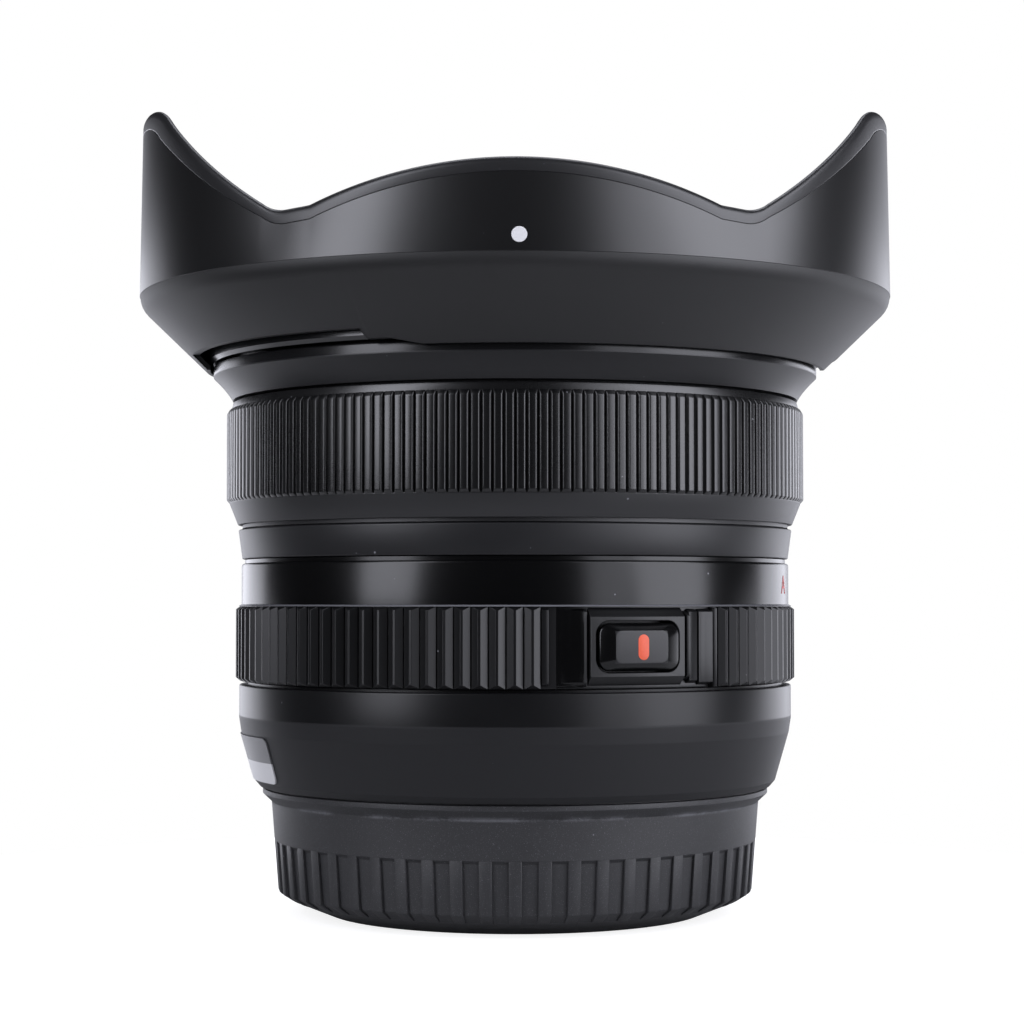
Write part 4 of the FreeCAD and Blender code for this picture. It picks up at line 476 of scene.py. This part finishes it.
hood = {
    "columns": 720,
    "foot": 46.85,
    "footRadius": 34.7,
    "footInside": 47.3,  # where the skirt's inner side starts
    "footEdge": 34.85,  # what is wider belongs to the skirt's outer side
    "footZone": 48.4,  # the notches stay below it
    "slope": 1.0417,  # how fast the skirt widens
    "top": 74.5,
    "shortPetal": 64.4,
    "shortPetalCurve": 56.0,
    "valley": 60.27,
    "valleyInner": 20.6,
    "valleyOuter": 23.2,
    "sweepFrom": (25.6, 61.17),
    "sweepTo": (36.7, 72.15),
    "sweepCurve": 46.0,
    "petalFlat": 40.6,
    "lean": 1.0,  # how the parting line moves outwards as it drops
    "wallStart": 58.0,
    "notches": (0, 162.5),
    "notchSteps": ((-80, 1.6), (-25, 0.65), (-21, 0.65), (-15.5, 0.0)),
    "crease": 55.02,  # the wall above it is polished
    "collarTop": 52.0,
    "rimRadius": 42.0,
    "shell": [
        (34.7, 46.85), (35.1, 46.85, 0.10), (42.53, 54.0, 2.3), (42.53, 55.0), (42.6, 55.04), (42.32, 72.97, 0.06),
        (41.02, 72.97), (41.3, 53.65, 0.4), (34.7, 47.3),
    ],
    "liner": [
        (33.55, 47.6, 0.1), (34.3, 47.6), (34.7, 48.0), (34.7, 54.25), (39.9, 54.25), (41.25, 55.6), (40.98, 72.97),
        (42.32, 72.97, 0.06), (42.3, 74.5, 0.75), (40.13, 74.5, 0.8), (40.4, 56.57, 0.8), (39.0, 55.15, 0.8),
        (33.55, 55.15, 0.25),
    ],
    "lugs": (60, 180, 300),
    "lugSize": (6.8, 1.6, 1.25),
    "lugPlace": (33.4, 48.25),
    "lugCuts": 5,
    "dotSize": (1.55, 0.16, 1.55),
    "dotCorner": 0.77,
    "dotEdge": 0.03,
    "dotPlace": (0.5, 42.56, 56.6),
}


def hoodFinish(crease):  # satin wall above the crease, fine texture below it
    material, wire = newFinish("hoodPlastic", Specular_IOR_Level=1.0)
    spot = place(wire)
    wall = between(part(spot, 2), crease - 0.02, crease + 0.02)
    fine, broad, specks = noise(spot, 0.13, 3.0, 0.65), noise(spot, 12.0, 3.0), dust(spot, 0.45)
    tint = mix(wall, grey(0.007), grey(0.004))
    return feed(material, Base_Color=mix(specks, tint, grey(coat["plasticDustTone"])),
                Normal=bump(fine * (1 - 0.85 * wall), 0.010),
                Roughness=0.52 - 0.23 * wall + 0.05 * broad + coat["plasticDustRough"] * specks)


def linerFinish(collarTop, rimRadius):  # matt bowl, glossy collar, rim as satin as the shell and painted lighter where light from above falls on it
    material, wire = newFinish("linerPlastic", Specular_IOR_Level=0.9)
    spot = place(wire)
    collar = 1 - between(part(spot, 2), collarTop - coat["fade"], collarTop + coat["fade"])
    rim = between(fromAxis(spot), rimRadius - 0.2, rimRadius + 0.1)
    fine, specks = noise(spot, 0.13, 3.0, 0.65), dust(spot, 0.3)
    # the rim's lighter grey is painted light from above
    tint = mix(rim, grey(0.008), grey(0.013))
    return feed(material, Base_Color=mix(specks, tint, grey(coat["plasticDustTone"])), Normal=bump(fine, 0.003),
                Roughness=0.55 - 0.18 * rim - 0.33 * collar + coat["plasticDustRough"] * specks)


def sagging(side, first, last, curve):  # height on an arc that sags between two points
    chord = Vector(last) - Vector(first)
    reach = math.sqrt(curve ** 2 - (chord.length / 2) ** 2)
    centre = (Vector(first) + Vector(last)) / 2 + Vector((-chord.y, chord.x)).normalized() * reach
    return centre.y - math.sqrt(curve ** 2 - (side - centre.x) ** 2)


def levelling(side, run, rise):  # drop below the level end of an arc with this run and rise
    curve = (run ** 2 + rise ** 2) / (2 * rise)
    return curve - math.sqrt(curve ** 2 - side ** 2)


def petalTop(across, drop=0.0):  # height of the petals' edge, or of a line below it, seen from the viewer's side
    side = abs(across)
    (lowSide, low), (highSide, high) = hood["sweepFrom"], hood["sweepTo"]
    highSide += hood["lean"] * drop
    flat = hood["petalFlat"] + hood["lean"] * drop
    inner, outer = hood["valleyInner"], hood["valleyOuter"]
    crest = hood["shortPetal"] - hood["shortPetalCurve"]
    if side <= inner:
        edge = crest + math.sqrt(hood["shortPetalCurve"] ** 2 - side ** 2)
    elif side <= outer:
        innerEdge = crest + math.sqrt(hood["shortPetalCurve"] ** 2 - inner ** 2)
        edge = innerEdge + (hood["valley"] - innerEdge) * (side - inner) / (outer - inner)
    elif side <= lowSide:
        edge = hood["valley"] + levelling(side - outer, lowSide - outer, low - hood["valley"])
    elif side <= highSide:
        edge = sagging(side, (lowSide, low), (highSide, high), hood["sweepCurve"])
    elif side <= flat:
        edge = hood["top"] - levelling(flat - side, flat - highSide, hood["top"] - high)
    else:
        edge = hood["top"]
    return edge - drop


def notchLift(azimuth):  # how far the skirt's foot is cut up
    for turn in hood["notches"]:
        local = (azimuth - turn + 180) % 360 - 180
        steps = hood["notchSteps"]
        if steps[0][0] <= local < steps[1][0]:
            return steps[0][1]
        for (low, first), (high, second) in zip(steps[1:], steps[2:]):
            if low <= local < high:
                return first + (second - first) * (local - low) / (high - low)
    return 0.0


def pullDown(spot):  # a straight rim drawn down to the petals' edge
    if spot.z > hood["wallStart"]:
        spot.z = petalTop(spot.x, hood["top"] - spot.z)
    return spot


def cutFoot(spot):  # notches in the skirt's foot
    if spot.z > hood["footZone"]:
        return spot
    lift = notchLift(math.degrees(math.atan2(spot.x, -spot.y)))
    radius = spot.xy.length
    if radius > hood["footEdge"]:
        newRadius, height = radius + lift * hood["slope"], spot.z + lift
    else:
        height = max(spot.z, hood["foot"] + lift)
        newRadius = max(radius, hood["footRadius"] + (height - hood["footInside"]) * hood["slope"])
    return Vector((spot.x * newRadius / radius, spot.y * newRadius / radius, height))


shell = turned("hoodShell", hood["shell"], hood["columns"])
moved(shell, pullDown)
moved(shell, cutFoot)
smooth(shell, 40)
settle(shell, "hood", hoodFinish(hood["crease"]), "black_polycarbonate", "hood_shell")

liner = turned("hoodLiner", hood["liner"], hood["columns"], steps=6)
moved(liner, pullDown)
smooth(liner, 40)
lugs = []
for azimuth in hood["lugs"]:  # bayonet lugs inside the collar
    lug = block("lug", *hood["lugSize"])
    editing(lug)
    bpy.ops.mesh.select_all(action="SELECT")
    bpy.ops.mesh.subdivide(number_cuts=hood["lugCuts"])
    done()
    lugs.append(wrapped(lug, azimuth, *hood["lugPlace"]))
liner = joined([liner] + lugs, "hoodLiner")
linerPlastic = linerFinish(hood["collarTop"], hood["rimRadius"])
settle(liner, "hood", linerPlastic, "black_polycarbonate", "hood_liner")

dot = block("hoodDot", *hood["dotSize"])
roundCorners(dot, hood["dotCorner"], 12)
bevelled(dot, hood["dotEdge"], 1)
wrapped(dot, *hood["dotPlace"])
settle(smooth(dot), "hood", markWhite, "label_white")
print("hood turned:", len(shell.data.polygons) + len(liner.data.polygons), "faces")


barrel = {
    "flareFrom": (32.15, 43.5),
    "flareWidens": 2.15,
    "flareRises": 2.6,
    "flareSteps": 8,
    "hollow": 0.38,  # share of the flare's width that comes late
    "hollowPower": 1.8,
    "threadRadius": 31.0,
    "threadDepth": 0.35,
    "threadPitch": 0.75,
    "threadSpan": (49.6, 52.4),
    "behindFlare": [(27.2, 43.5), (32.1, 43.5, 0.04)],
    "beforeThread": [
        (34.3, 46.35), (34.3, 47.3, 0.22), (32.4, 47.3, 0.1), (32.4, 49.1), (33.4, 49.1, 0.1), (33.4, 52.8, 0.25),
        (31.0, 52.8, 0.15),
    ],
    "afterThread": [(31.0, 49.3), (30.4, 49.3), (30.4, 47.9), (27.2, 47.9)],
    "trimRing": [
        (24.8, 48.7), (30.3, 48.7), (30.3, 49.3, 0.1), (29.9, 49.3), (29.5, 49.12), (29.1, 49.3), (28.0, 49.3),
        (27.6, 49.12), (27.2, 49.3), (25.4, 49.3, 0.15), (24.8, 48.95, 0.1),
    ],
    "middleBand": [(29.0, 25.6), (31.0, 25.6, 0.15), (31.45, 28.9, 0.15), (29.0, 28.9)],
}


def threadRows(low, high):  # rows of the filter thread, from the front down
    radius, pitch = barrel["threadRadius"], barrel["threadPitch"]
    rows = []
    station = high
    while station - pitch > low:
        rows += [(radius, station), (radius - barrel["threadDepth"], station - pitch / 2)]
        station -= pitch
    return rows + [(radius, station)]


def flareRows():  # the hollow flare under the hood
    radius, station = barrel["flareFrom"]
    rows = []
    for step in range(barrel["flareSteps"] + 1):
        share = step / barrel["flareSteps"]
        widened = (1 - barrel["hollow"]) * share + barrel["hollow"] * share ** barrel["hollowPower"]
        rows.append((radius + barrel["flareWidens"] * widened, station + barrel["flareRises"] * share))
    return rows


frontOutline = barrel["behindFlare"] + flareRows() + barrel["beforeThread"]
frontOutline += threadRows(*barrel["threadSpan"]) + barrel["afterThread"]
frontBarrel = turned("frontBarrel", frontOutline, steps=3)
settle(frontBarrel, "barrel", flareMetal, "satin_black_metal", "front_barrel")
trimRing = turned("frontTrimRing", barrel["trimRing"], steps=3)
settle(trimRing, "barrel", satinMetal, "satin_black_metal", "front_trim_ring")

focusRing = {
    "columns": 352,
    "body": [
        (30.55, 29.05), (31.0, 29.05), (31.0, 29.45), (31.5, 29.45, 0.12), (32.5, 31.95, 0.1), (32.33, 32.1),
        (32.33, 42.2), (32.1, 43.2, 0.12), (30.55, 43.2),
    ],
    "ribs": 176,
    "rib": {
        "width": 1.08, "topWidth": 0.72, "rear": 31.9, "front": 42.4, "root": 32.48, "crest": 32.8,
        "rearSlope": 0.35, "frontSlope": 0.5, "edge": 0.17, "foot": 0.18, "steps": 3,
    },
}
ringBody = turned("focusRing", focusRing["body"], focusRing["columns"], steps=3)
finger = rib("finger", 180 / focusRing["ribs"], focusRing["rib"])
around(finger, focusRing["ribs"])
focusPiece = joined([ringBody, smooth(finger, 30)], "focusRing")
settle(focusPiece, "focus_ring", ribMetal, "satin_black_metal", "focus_ring")

middleBand = turned("middleBand", barrel["middleBand"], steps=3)
settle(middleBand, "barrel", coneMetal, "satin_black_metal", "middle_band")
print("front barrel, focus ring and band turned")


aperture = {
    "body": [
        (29.15, 11.95), (31.07, 11.95, 0.1), (31.07, 12.3), (31.07, 20.2), (31.07, 20.3), (31.38, 20.3),
        (31.38, 20.35), (31.07, 20.54), (31.07, 25.1, 0.3), (30.7, 25.1), (30.7, 25.5), (29.15, 25.5),
    ],
    "ribs": 98,
    "ribsFrom": 42.8,  # the rest of the circle is the button's field
    "ribsTo": 364.83,
    "rib": {
        "width": 1.64, "topWidth": 0.26, "rear": 11.95, "front": 20.32, "root": 31.22, "crest": 31.7,
        "rearSlope": 0.4, "frontSlope": 0.36, "edge": 0.02, "foot": 0.3, "steps": 1,
    },
    "reliefRoot": 30.9,
    "reliefEdge": 0.05,
    "reliefs": {  # places as azimuth, radius and inset, then rear, front and the slopes of both ends
        "scoop": ([(7.6, 31.09, 0), (9.3, 31.10, 0), (10.3, 31.16, 0.12), (11.2, 31.27, 0.35), (11.9, 31.42, 0.7),
                   (12.4, 31.60, 1.05), (12.75, 31.78, 1.4)], 12.1, 20.2, 0.1, 0.1),
        "scoopBorder": ([(8.6, 31.10, 0), (10.4, 31.25, 0), (12.0, 31.45, 0), (13.4, 31.5, 0)], 12.0, 20.28, 0.6, 0.5),
        "leftWall": ([(4.9, 31.35, 0), (6.2, 31.35, 0)], 12.1, 20.28, 0.4, 0.3),
        "rightRidge": ([(33.8, 31.86, 0), (34.2, 31.93, 0), (34.6, 31.97, 0)], 12.6, 20.0, 0.6, 0.6),
        "rightSlope": ([(34.6, 31.75, 0), (35.6, 31.6, 0), (36.9, 31.5, 0)], 12.3, 20.2, 0.4, 0.4),
        "rightStep": ([(37.2, 31.58, 0), (37.7, 31.52, 0), (38.8, 31.62, 0), (40.3, 31.86, 0)], 12.1, 20.2, 0.4, 0.4),
        "lastRidge": ([(40.5, 31.80, 0), (40.85, 31.90, 0), (41.2, 31.98, 0)], 11.8, 20.35, 0.2, 0.2),
    },
    "window": (23.4, 16.25),  # azimuth and station of its middle
    "windowHalf": 9.6,
    "wall": 31.0,  # faces further out than this belong to the outer wall
    "frameRadius": 32,
    "frameLoops": (  # half width, half height, corner, radius and shift to the right
        (4.75, 2.65, 1.4, 29.7, 0), (4.75, 2.65, 1.4, 31.93, 0), (4.82, 2.72, 1.47, 32.0, 0),
        (5.35, 3.05, 0.08, 32.0, 0.07), (5.41, 3.12, 0.08, 31.95, 0.07), (5.5, 4.05, 0.08, 31.0, 0.07),
    ),
    "frameColumns": 64,
    "polished": 20.4,  # blasted below this height
    "polishedScoop": (4.1, 6.9),
    "numbers": {"A": 72.5, "22": 90, "16": 100, "11": 110, "8": 120, "5.6": 130, "4": 140, "3.5": 150},
    "numberSize": 2.9,
    "numberPlace": (31.07, 21.7),
    "indexSize": (0.28, 0.08, 1.5),
    "indexPlace": (90, 31.25, 27.1),
}


def ringFinish(ribTop, left, right):  # polished above the ribs and in the thumb's scoop, blasted elsewhere, with a painted highlight line over the ribs
    material, wire = newFinish("ringMetal", Specular_IOR_Level=0.5)
    spot = place(wire)
    across, depth, height = (part(spot, axis) for axis in range(3))
    scoop = within(across, left, right, coat["fade"]) * (1 - between(depth, -1, 0))
    above = between(height, ribTop - coat["fade"], ribTop + coat["fade"])
    plain = above + (1 - above) * scoop
    edge = within(height, ribTop - 0.07, ribTop + 0.1, 0.04)  # painted highlight: the pale line over the ribs, where the lit bead edge shines
    fine, streaks = noise(spot, 0.09, 3.0, 0.6), noise(place(wire, (0.1, 0.1, 1.5)), 0.2, 3.0)
    specks = dust(spot, 0.6)
    tint = mix(edge, mix(plain, grey(0.006), grey(0.002)), grey(0.16))
    return feed(material, Base_Color=mix(specks, tint, grey(coat["dustTone"])), Normal=bump(fine, 0.001),
                Roughness=0.30 - 0.11 * plain + 0.05 * streaks + coat["dustRough"] * specks)


def inWindow(centre, normal):
    azimuth = math.degrees(math.atan2(centre.x, -centre.y))
    middle, station = aperture["window"]
    beside = abs(azimuth - middle) < aperture["windowHalf"] and abs(centre.z - station) < 1
    return beside and centre.xy.length > aperture["wall"]


body = turned("apertureRing", aperture["body"], steps=3)
editing(body, "FACE")
pick(body, inWindow)
bpy.ops.mesh.delete(type="FACE")  # the frame closes the gap
done()
pitch = (aperture["ribsTo"] - aperture["ribsFrom"]) / aperture["ribs"]
tooth = rib("tooth", aperture["ribsFrom"] + pitch / 2, aperture["rib"])
around(tooth, aperture["ribs"], pitch * (aperture["ribs"] - 1))


def relief(name, tops, rear, front, rearSlope, frontSlope):  # a bar that runs over its places
    piece = block(name, 1, 1, 1)
    editing(piece, "FACE")
    for _ in tops[2:]:
        pick(piece, lambda centre, normal: normal.x > 0.9)
        bpy.ops.mesh.extrude_region_move(TRANSFORM_OT_translate={"value": (1 * mm, 0, 0)})
    done()

    def bent(spot):
        azimuth, radius, inset = tops[round(spot.x + 0.5)]
        outer = spot.y < 0
        low = rear + inset + (rearSlope if outer else 0)
        high = front - inset - (frontSlope if outer else 0)
        return onBarrel(azimuth, radius if outer else aperture["reliefRoot"], high if spot.z > 0 else low)

    moved(piece, bent)
    return smooth(bevelled(piece, aperture["reliefEdge"], 2, 35), 30)


def roundedBox(turn, width, height, corner):  # a point of a rounded rectangle for an angle of the circle
    quarter = math.pi / 2
    sector = math.floor(turn / quarter) % 4
    share = (turn % quarter) / quarter
    signs = ((1, 1), (-1, 1), (-1, -1), (1, -1))[sector]
    if sector % 2:
        share = 1 - share
    flat = 0.3  # share of each quarter spent on a straight run
    across, up = width - corner, height - corner
    if share < flat:
        x, z = width, up * share / flat
    elif share > 1 - flat:
        x, z = across * (1 - share) / flat, height
    else:
        bend = (share - flat) / (1 - 2 * flat) * quarter
        x, z = across + corner * math.cos(bend), up + corner * math.sin(bend)
    return signs[0] * x, signs[1] * z


def windowFrame(name):  # a sleeve drawn out loop by loop, then wrapped on the ring
    start()
    bpy.ops.mesh.primitive_circle_add(vertices=aperture["frameColumns"], radius=1 * mm, fill_type="NGON",
                                      rotation=(math.radians(90), 0, 0))
    piece = bpy.context.object
    piece.name = piece.data.name = name
    bpy.ops.object.transform_apply(location=True, rotation=True, scale=True)
    bpy.ops.object.mode_set(mode="EDIT")
    bpy.ops.mesh.select_mode(type="EDGE")
    bpy.ops.mesh.select_all(action="SELECT")
    for _ in aperture["frameLoops"][1:]:
        bpy.ops.mesh.extrude_edges_move(TRANSFORM_OT_translate={"value": (0, -1 * mm, 0)})
    done()
    azimuth, station = aperture["window"]

    def bent(spot):
        width, height, corner, radius, shift = aperture["frameLoops"][round(-spot.y)]
        across, up = roundedBox(math.atan2(spot.z, spot.x), width, height, corner)
        swing = math.degrees((across + shift) / aperture["frameRadius"])
        return onBarrel(azimuth + swing, radius, station + up)

    return smooth(moved(piece, bent), 25)


reliefs = [relief(name, *shape) for name, shape in aperture["reliefs"].items()]
aperturePiece = joined([body, smooth(tooth, 10)] + reliefs + [windowFrame("frameSleeve")], "apertureRing")
ringMetal = ringFinish(aperture["polished"], *aperture["polishedScoop"])
settle(aperturePiece, "aperture_ring", ringMetal, "satin_black_metal", "aperture_ring")


def lettering(text, azimuth, material):
    start()
    bpy.ops.object.text_add(location=(0, 0, 0), rotation=(math.radians(90), 0, 0))
    letters = bpy.context.object
    letters.data.body = text
    letters.data.size = aperture["numberSize"] * mm
    letters.data.align_x = "CENTER"
    letters.data.extrude = 0.03 * mm
    bpy.ops.object.convert(target="MESH")
    letters = bpy.context.object
    letters.name = letters.data.name = "number" + text.replace(".", "_")
    bpy.ops.object.transform_apply(location=True, rotation=True, scale=True)
    wrapped(letters, azimuth, *aperture["numberPlace"])
    settle(tidy(letters, 30), "aperture_ring", material, "label_white")


for text, azimuth in aperture["numbers"].items():
    lettering(text, azimuth, markRed if text == "A" else markWhite)
index = block("indexLine", *aperture["indexSize"])
bevelled(index, 0.02, 1)
wrapped(index, *aperture["indexPlace"])
settle(index, "barrel", markWhite, "label_white")

lock = {
    "azimuth": 23.7,
    "station": 16.2,
    "size": (9.1, 0.5, 4.9),
    "corner": 1.2,
    "top": (6.0, 3.38),  # width and height of the face
    "rise": 0.95,
    "shift": -0.2,
    "pocketWall": 0.8,
    "pocketDepth": 0.8,
    "edge": 0.12,
    "radius": 31.4,
    "stem": [(0.4, 0.0), (0.8, 0.0), (0.8, 2.6), (1.2, 2.6), (1.2, 3.05), (0.4, 3.05)],
    "stemColumns": 32,
    "stemRadius": 32.0,
    "face": (-3.1, 2.75),  # grained between these
    "faceHalf": 1.6,
    "mark": (1.22, 0.3, 2.62),
    "markCorner": 0.6,
    "markEdge": 0.04,
    "markRadius": 32.47,
}


def buttonFinish(turn, station, left, right, half):  # grained face, polished bevels
    material, wire = newFinish("buttonPlastic", Specular_IOR_Level=0.6)
    spot = place(wire)
    across = part(spot, 0) * math.cos(turn) + part(spot, 1) * math.sin(turn)
    up = part(spot, 2) - station
    face = within(across, left - 0.1, right, coat["fade"]) * (1 - between(up * up, half ** 2, half ** 2 + 0.4))
    fine, coarse = noise(spot, 0.10, 3.0, 0.6), noise(spot, 0.22, 3.0, 0.6)
    grain = mix(coarse, grey(0.012), grey(0.019))
    return feed(material, Base_Color=mix(face, grey(0.003), grain), Normal=bump(coarse * face, 0.006),
                Roughness=0.15 + 0.25 * face + 0.05 * fine)


def pushedOut(piece, radius):  # to the button's place
    moved(piece, lambda spot: Vector((spot.x, spot.y - radius, spot.z + lock["station"])))
    piece.data.transform(lockTurn)


lockTurn = Matrix.Rotation(math.radians(lock["azimuth"]), 4, "Z")
button = block("lockButton", *lock["size"])
roundCorners(button, lock["corner"])
editing(button, "FACE")
pick(button, lambda centre, normal: normal.y < -0.9)
bpy.ops.mesh.extrude_region_move(TRANSFORM_OT_translate={"value": (0, -lock["rise"] * mm, 0)})
narrowed, lowered = lock["top"][0] / lock["size"][0], lock["top"][1] / lock["size"][2]
bpy.ops.transform.resize(value=(narrowed, 1, lowered), center_override=(0, 0, 0))
bpy.ops.transform.translate(value=(lock["shift"] * mm, 0, 0))
done()
editing(button, "FACE")
pick(button, lambda centre, normal: normal.y > 0.9)
bpy.ops.mesh.inset(thickness=lock["pocketWall"] * mm)
bpy.ops.mesh.extrude_region_move(TRANSFORM_OT_translate={"value": (0, -lock["pocketDepth"] * mm, 0)})
done()
bevelled(button, lock["edge"], 2, 25)
pushedOut(button, lock["radius"])
stem = turned("stem", lock["stem"], lock["stemColumns"], closed=False)
stemPlace = Matrix.Translation(Vector((0, -lock["stemRadius"], lock["station"])) * mm)
stem.data.transform(lockTurn @ stemPlace @ Matrix.Rotation(math.radians(-90), 4, "X"))
button = joined([button, stem], "lockButton")
buttonPlastic = buttonFinish(math.radians(lock["azimuth"]), lock["station"], *lock["face"], lock["faceHalf"])
settle(smooth(button, 30), "lock_button", buttonPlastic, "black_plastic", "lock_button")

pill = block("buttonMark", *lock["mark"])
roundCorners(pill, lock["markCorner"], 8)
bevelled(pill, lock["markEdge"])
pushedOut(pill, lock["markRadius"])
settle(smooth(pill, 30), "lock_button", markOrange, "button_orange", "lock_button_mark")
print("aperture ring and button made:", len(aperturePiece.data.polygons), "faces")


rearBarrel = turned("rearBarrel", [
    (28.4, 0.15), (28.9, 0.15, 0.1), (29.5, 0.85, 0.2), (31.05, 6.25, 1.2), (31.3, 7.9, 1.5), (31.3, 11.55, 0.2),
    (30.3, 11.55), (30.3, 11.8), (29.0, 11.8), (29.0, 8.0), (26.8, 8.0), (26.8, 4.0), (22.0, 4.0), (22.0, 2.0),
    (28.4, 2.0),
])
settle(rearBarrel, "barrel", barrelMetal, "satin_black_metal", "rear_barrel")

plate = {
    "size": (30.9, 0.15, 5.0),
    "corner": 0.8,
    "cuts": 23,  # on each side of the middle
    "cutStep": 0.63,
    "azimuth": -90,
    "bend": 29.6,
    "radius": 29.575,
    "lowEdge": 2.7,
    "taper": 0.287,
    "station": 3.55,
    "split": 3.3,
}


def plateFinish(split):  # printed plate: dark above, pale below
    material, wire = newFinish("platePaper")
    spot = place(wire)
    upper = between(part(spot, 2), split - 0.02, split + 0.02)
    fine = noise(spot, 0.2, 3.0)
    dark = mix(fine, (0.15, 0.15, 0.155, 1), (0.20, 0.20, 0.205, 1))
    return feed(material, Base_Color=mix(upper, (0.62, 0.62, 0.63, 1), dark), Roughness=0.38 + 0.1 * fine,
                Normal=bump(fine, 0.002))


def onTaper(spot):
    radius = plate["radius"] + (spot.z + plate["lowEdge"]) * plate["taper"] - spot.y
    return onBarrel(plate["azimuth"] + math.degrees(spot.x / plate["bend"]), radius, spot.z + plate["station"])


namePlate = block("namePlate", *plate["size"])
roundCorners(namePlate, plate["corner"], 5)
editing(namePlate)
for step in range(-plate["cuts"], plate["cuts"] + 1):
    bpy.ops.mesh.select_all(action="SELECT")
    bpy.ops.mesh.bisect(plane_co=(step * plate["cutStep"] * mm, 0, 0), plane_no=(1, 0, 0))
done()
moved(namePlate, onTaper)
settle(smooth(namePlate, 30), "barrel", plateFinish(plate["split"]), "label_white", "label_plate")

cap = {
    "columns": 330,
    "body": [
        (2.0, -13.7), (19.4, -13.7), (19.8, -14.1, 0.1), (21.3, -14.1, 0.8), (25.25, -12.48, 0.1), (25.35, -12.31),
        (26.4, -11.6, 0.3), (26.9, -6.2, 0.15), (27.26, -5.85), (27.6, -1.56, 0.2), (28.6, -0.62, 0.12),
        (28.6, -0.05, 0.12), (25.4, -0.05), (25.4, -11.6), (2.0, -11.6),
    ],
    "pads": 55,
    "share": 0.45,  # of the circle, the grooves between the pads have the rest
    "padRadius": 27,
    "padDepth": 0.8,
    "padEdge": 0.12,
    "rows": ((27.26, -5.7), (26.8, -11.6), (25.68, -12.31), (25.2, -12.55)),
    "lipEnd": -1.65,
    "padTop": -5.8,
}


def capFinish(lipEnd, padTop):  # grainy, coarser in the pads, with dust in the corner under the lip
    material, wire = newFinish("capPlastic", Specular_IOR_Level=0.65)
    spot = place(wire)
    height = part(spot, 2)
    fine, coarse, broad = noise(spot, 0.14, 3.0, 0.6), noise(spot, 0.30, 4.0, 0.7), noise(spot, 4.0, 3.0)
    pads = 1 - between(height, padTop - 0.2, padTop)
    corner = between(height, lipEnd - 0.25, lipEnd) * (1 - between(height, lipEnd + 0.1, lipEnd + 0.5))
    lint = corner * between(broad * 0.6 + coarse * 0.4, 0.42, 0.62)
    specks = between(noise(spot, 0.09, 2.0, 0.5), 0.62, 0.74) * 0.5
    tint = mix(specks, mix(broad, grey(0.018), grey(0.026)), grey(0.22))
    pale = mix(lint, tint, grey(0.11))
    relief = fine * (1 - pads) + coarse * pads * 1.6
    return feed(material, Base_Color=mix(dust(spot, 0.6), pale, grey(coat["plasticDustTone"])),
                Normal=bump(relief, 0.012), Roughness=0.50 + 0.06 * coarse + 0.3 * lint)


def onCap(spot):
    radius, station = cap["rows"][round(0.5 - spot.z)]
    azimuth = math.degrees(spot.x / cap["padRadius"])
    return onBarrel(azimuth, radius if spot.y < 0 else radius - cap["padDepth"], station)


capBody = turned("rearCap", cap["body"], cap["columns"], closed=False)
pad = block("pad", math.radians(360 / cap["pads"]) * cap["share"] * cap["padRadius"], 1.0, 1.0)
editing(pad, "FACE")
for _ in cap["rows"][2:]:
    pick(pad, lambda centre, normal: normal.z < -0.9)
    bpy.ops.mesh.extrude_region_move(TRANSFORM_OT_translate={"value": (0, 0, -1 * mm)})
done()
moved(pad, onCap)
bevelled(pad, cap["padEdge"], 2, 25)
around(pad, cap["pads"])
capPiece = joined([capBody, smooth(pad, 30)], "rearCap")
settle(capPiece, "rear_cap", capFinish(cap["lipEnd"], cap["padTop"]), "black_plastic", "rear_cap")
print("rear barrel, plate and cap made")


optics = {
    "columns": 192,
    "steps": 16,
    "tip": 0.25,  # the crown's flat
    "front": (75.0, 24.3, 49.18),  # radius, half width and crown
    "rear": (32.0, 18.5, 47.49),
    "rim": [(24.4, 45.0), (24.4, 41.6)],
    "retainer": [(22.8, 45.64), (24.8, 45.64), (24.8, 48.6), (24.4, 48.6), (24.2, 47.44, 0.1), (22.8, 47.2, 0.1)],
}


def dome(radius, half, crown):  # rows from the edge to the crown of a glass face
    rows = []
    for step in range(optics["steps"] + 1):
        across = max(half * (1 - step / optics["steps"]), optics["tip"])
        rows.append((across, crown - radius + math.sqrt(radius ** 2 - across ** 2)))
    return rows


glassOutline = dome(*optics["front"])[::-1] + optics["rim"] + dome(*optics["rear"])
frontGlass = turned("frontGlass", glassOutline, optics["columns"], closed=False)
settle(frontGlass, "barrel", glass, "coated_glass", "element_1")
retainer = turned("frontRetainer", optics["retainer"], optics["columns"], steps=3)
settle(retainer, "barrel", innerBlack, "inner_aluminium", "front_retainer")

looks = (  # of the nodes that stay as they are in the CAD, the others are innerBlack
    (chrome, ("mount_flange",)),
    (steel, ("mount_screws", "barrel_screws", "detent_ball", "detent_spring", "guide_rods", "lead_screw",
             "lock_button_spring")),
    (gilt, ("contact_pins",)),
    (brass, ("iris_pinion", "focus_nut")),
    (glass, tuple("element_%d" % number for number in range(2, 12))),
    (bladeBlack, tuple("iris_blade_%d" % number for number in range(1, 8))),
    (boardGreen, ("circuit_board",)),
)
for name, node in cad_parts.items():
    chosen = next((material for material, names in looks if name in names), innerBlack)
    for slot in node.material_slots:
        slot.material = chosen
    if not node.material_slots:
        node.data.materials.append(chosen)
print("inner pieces dressed")

start()
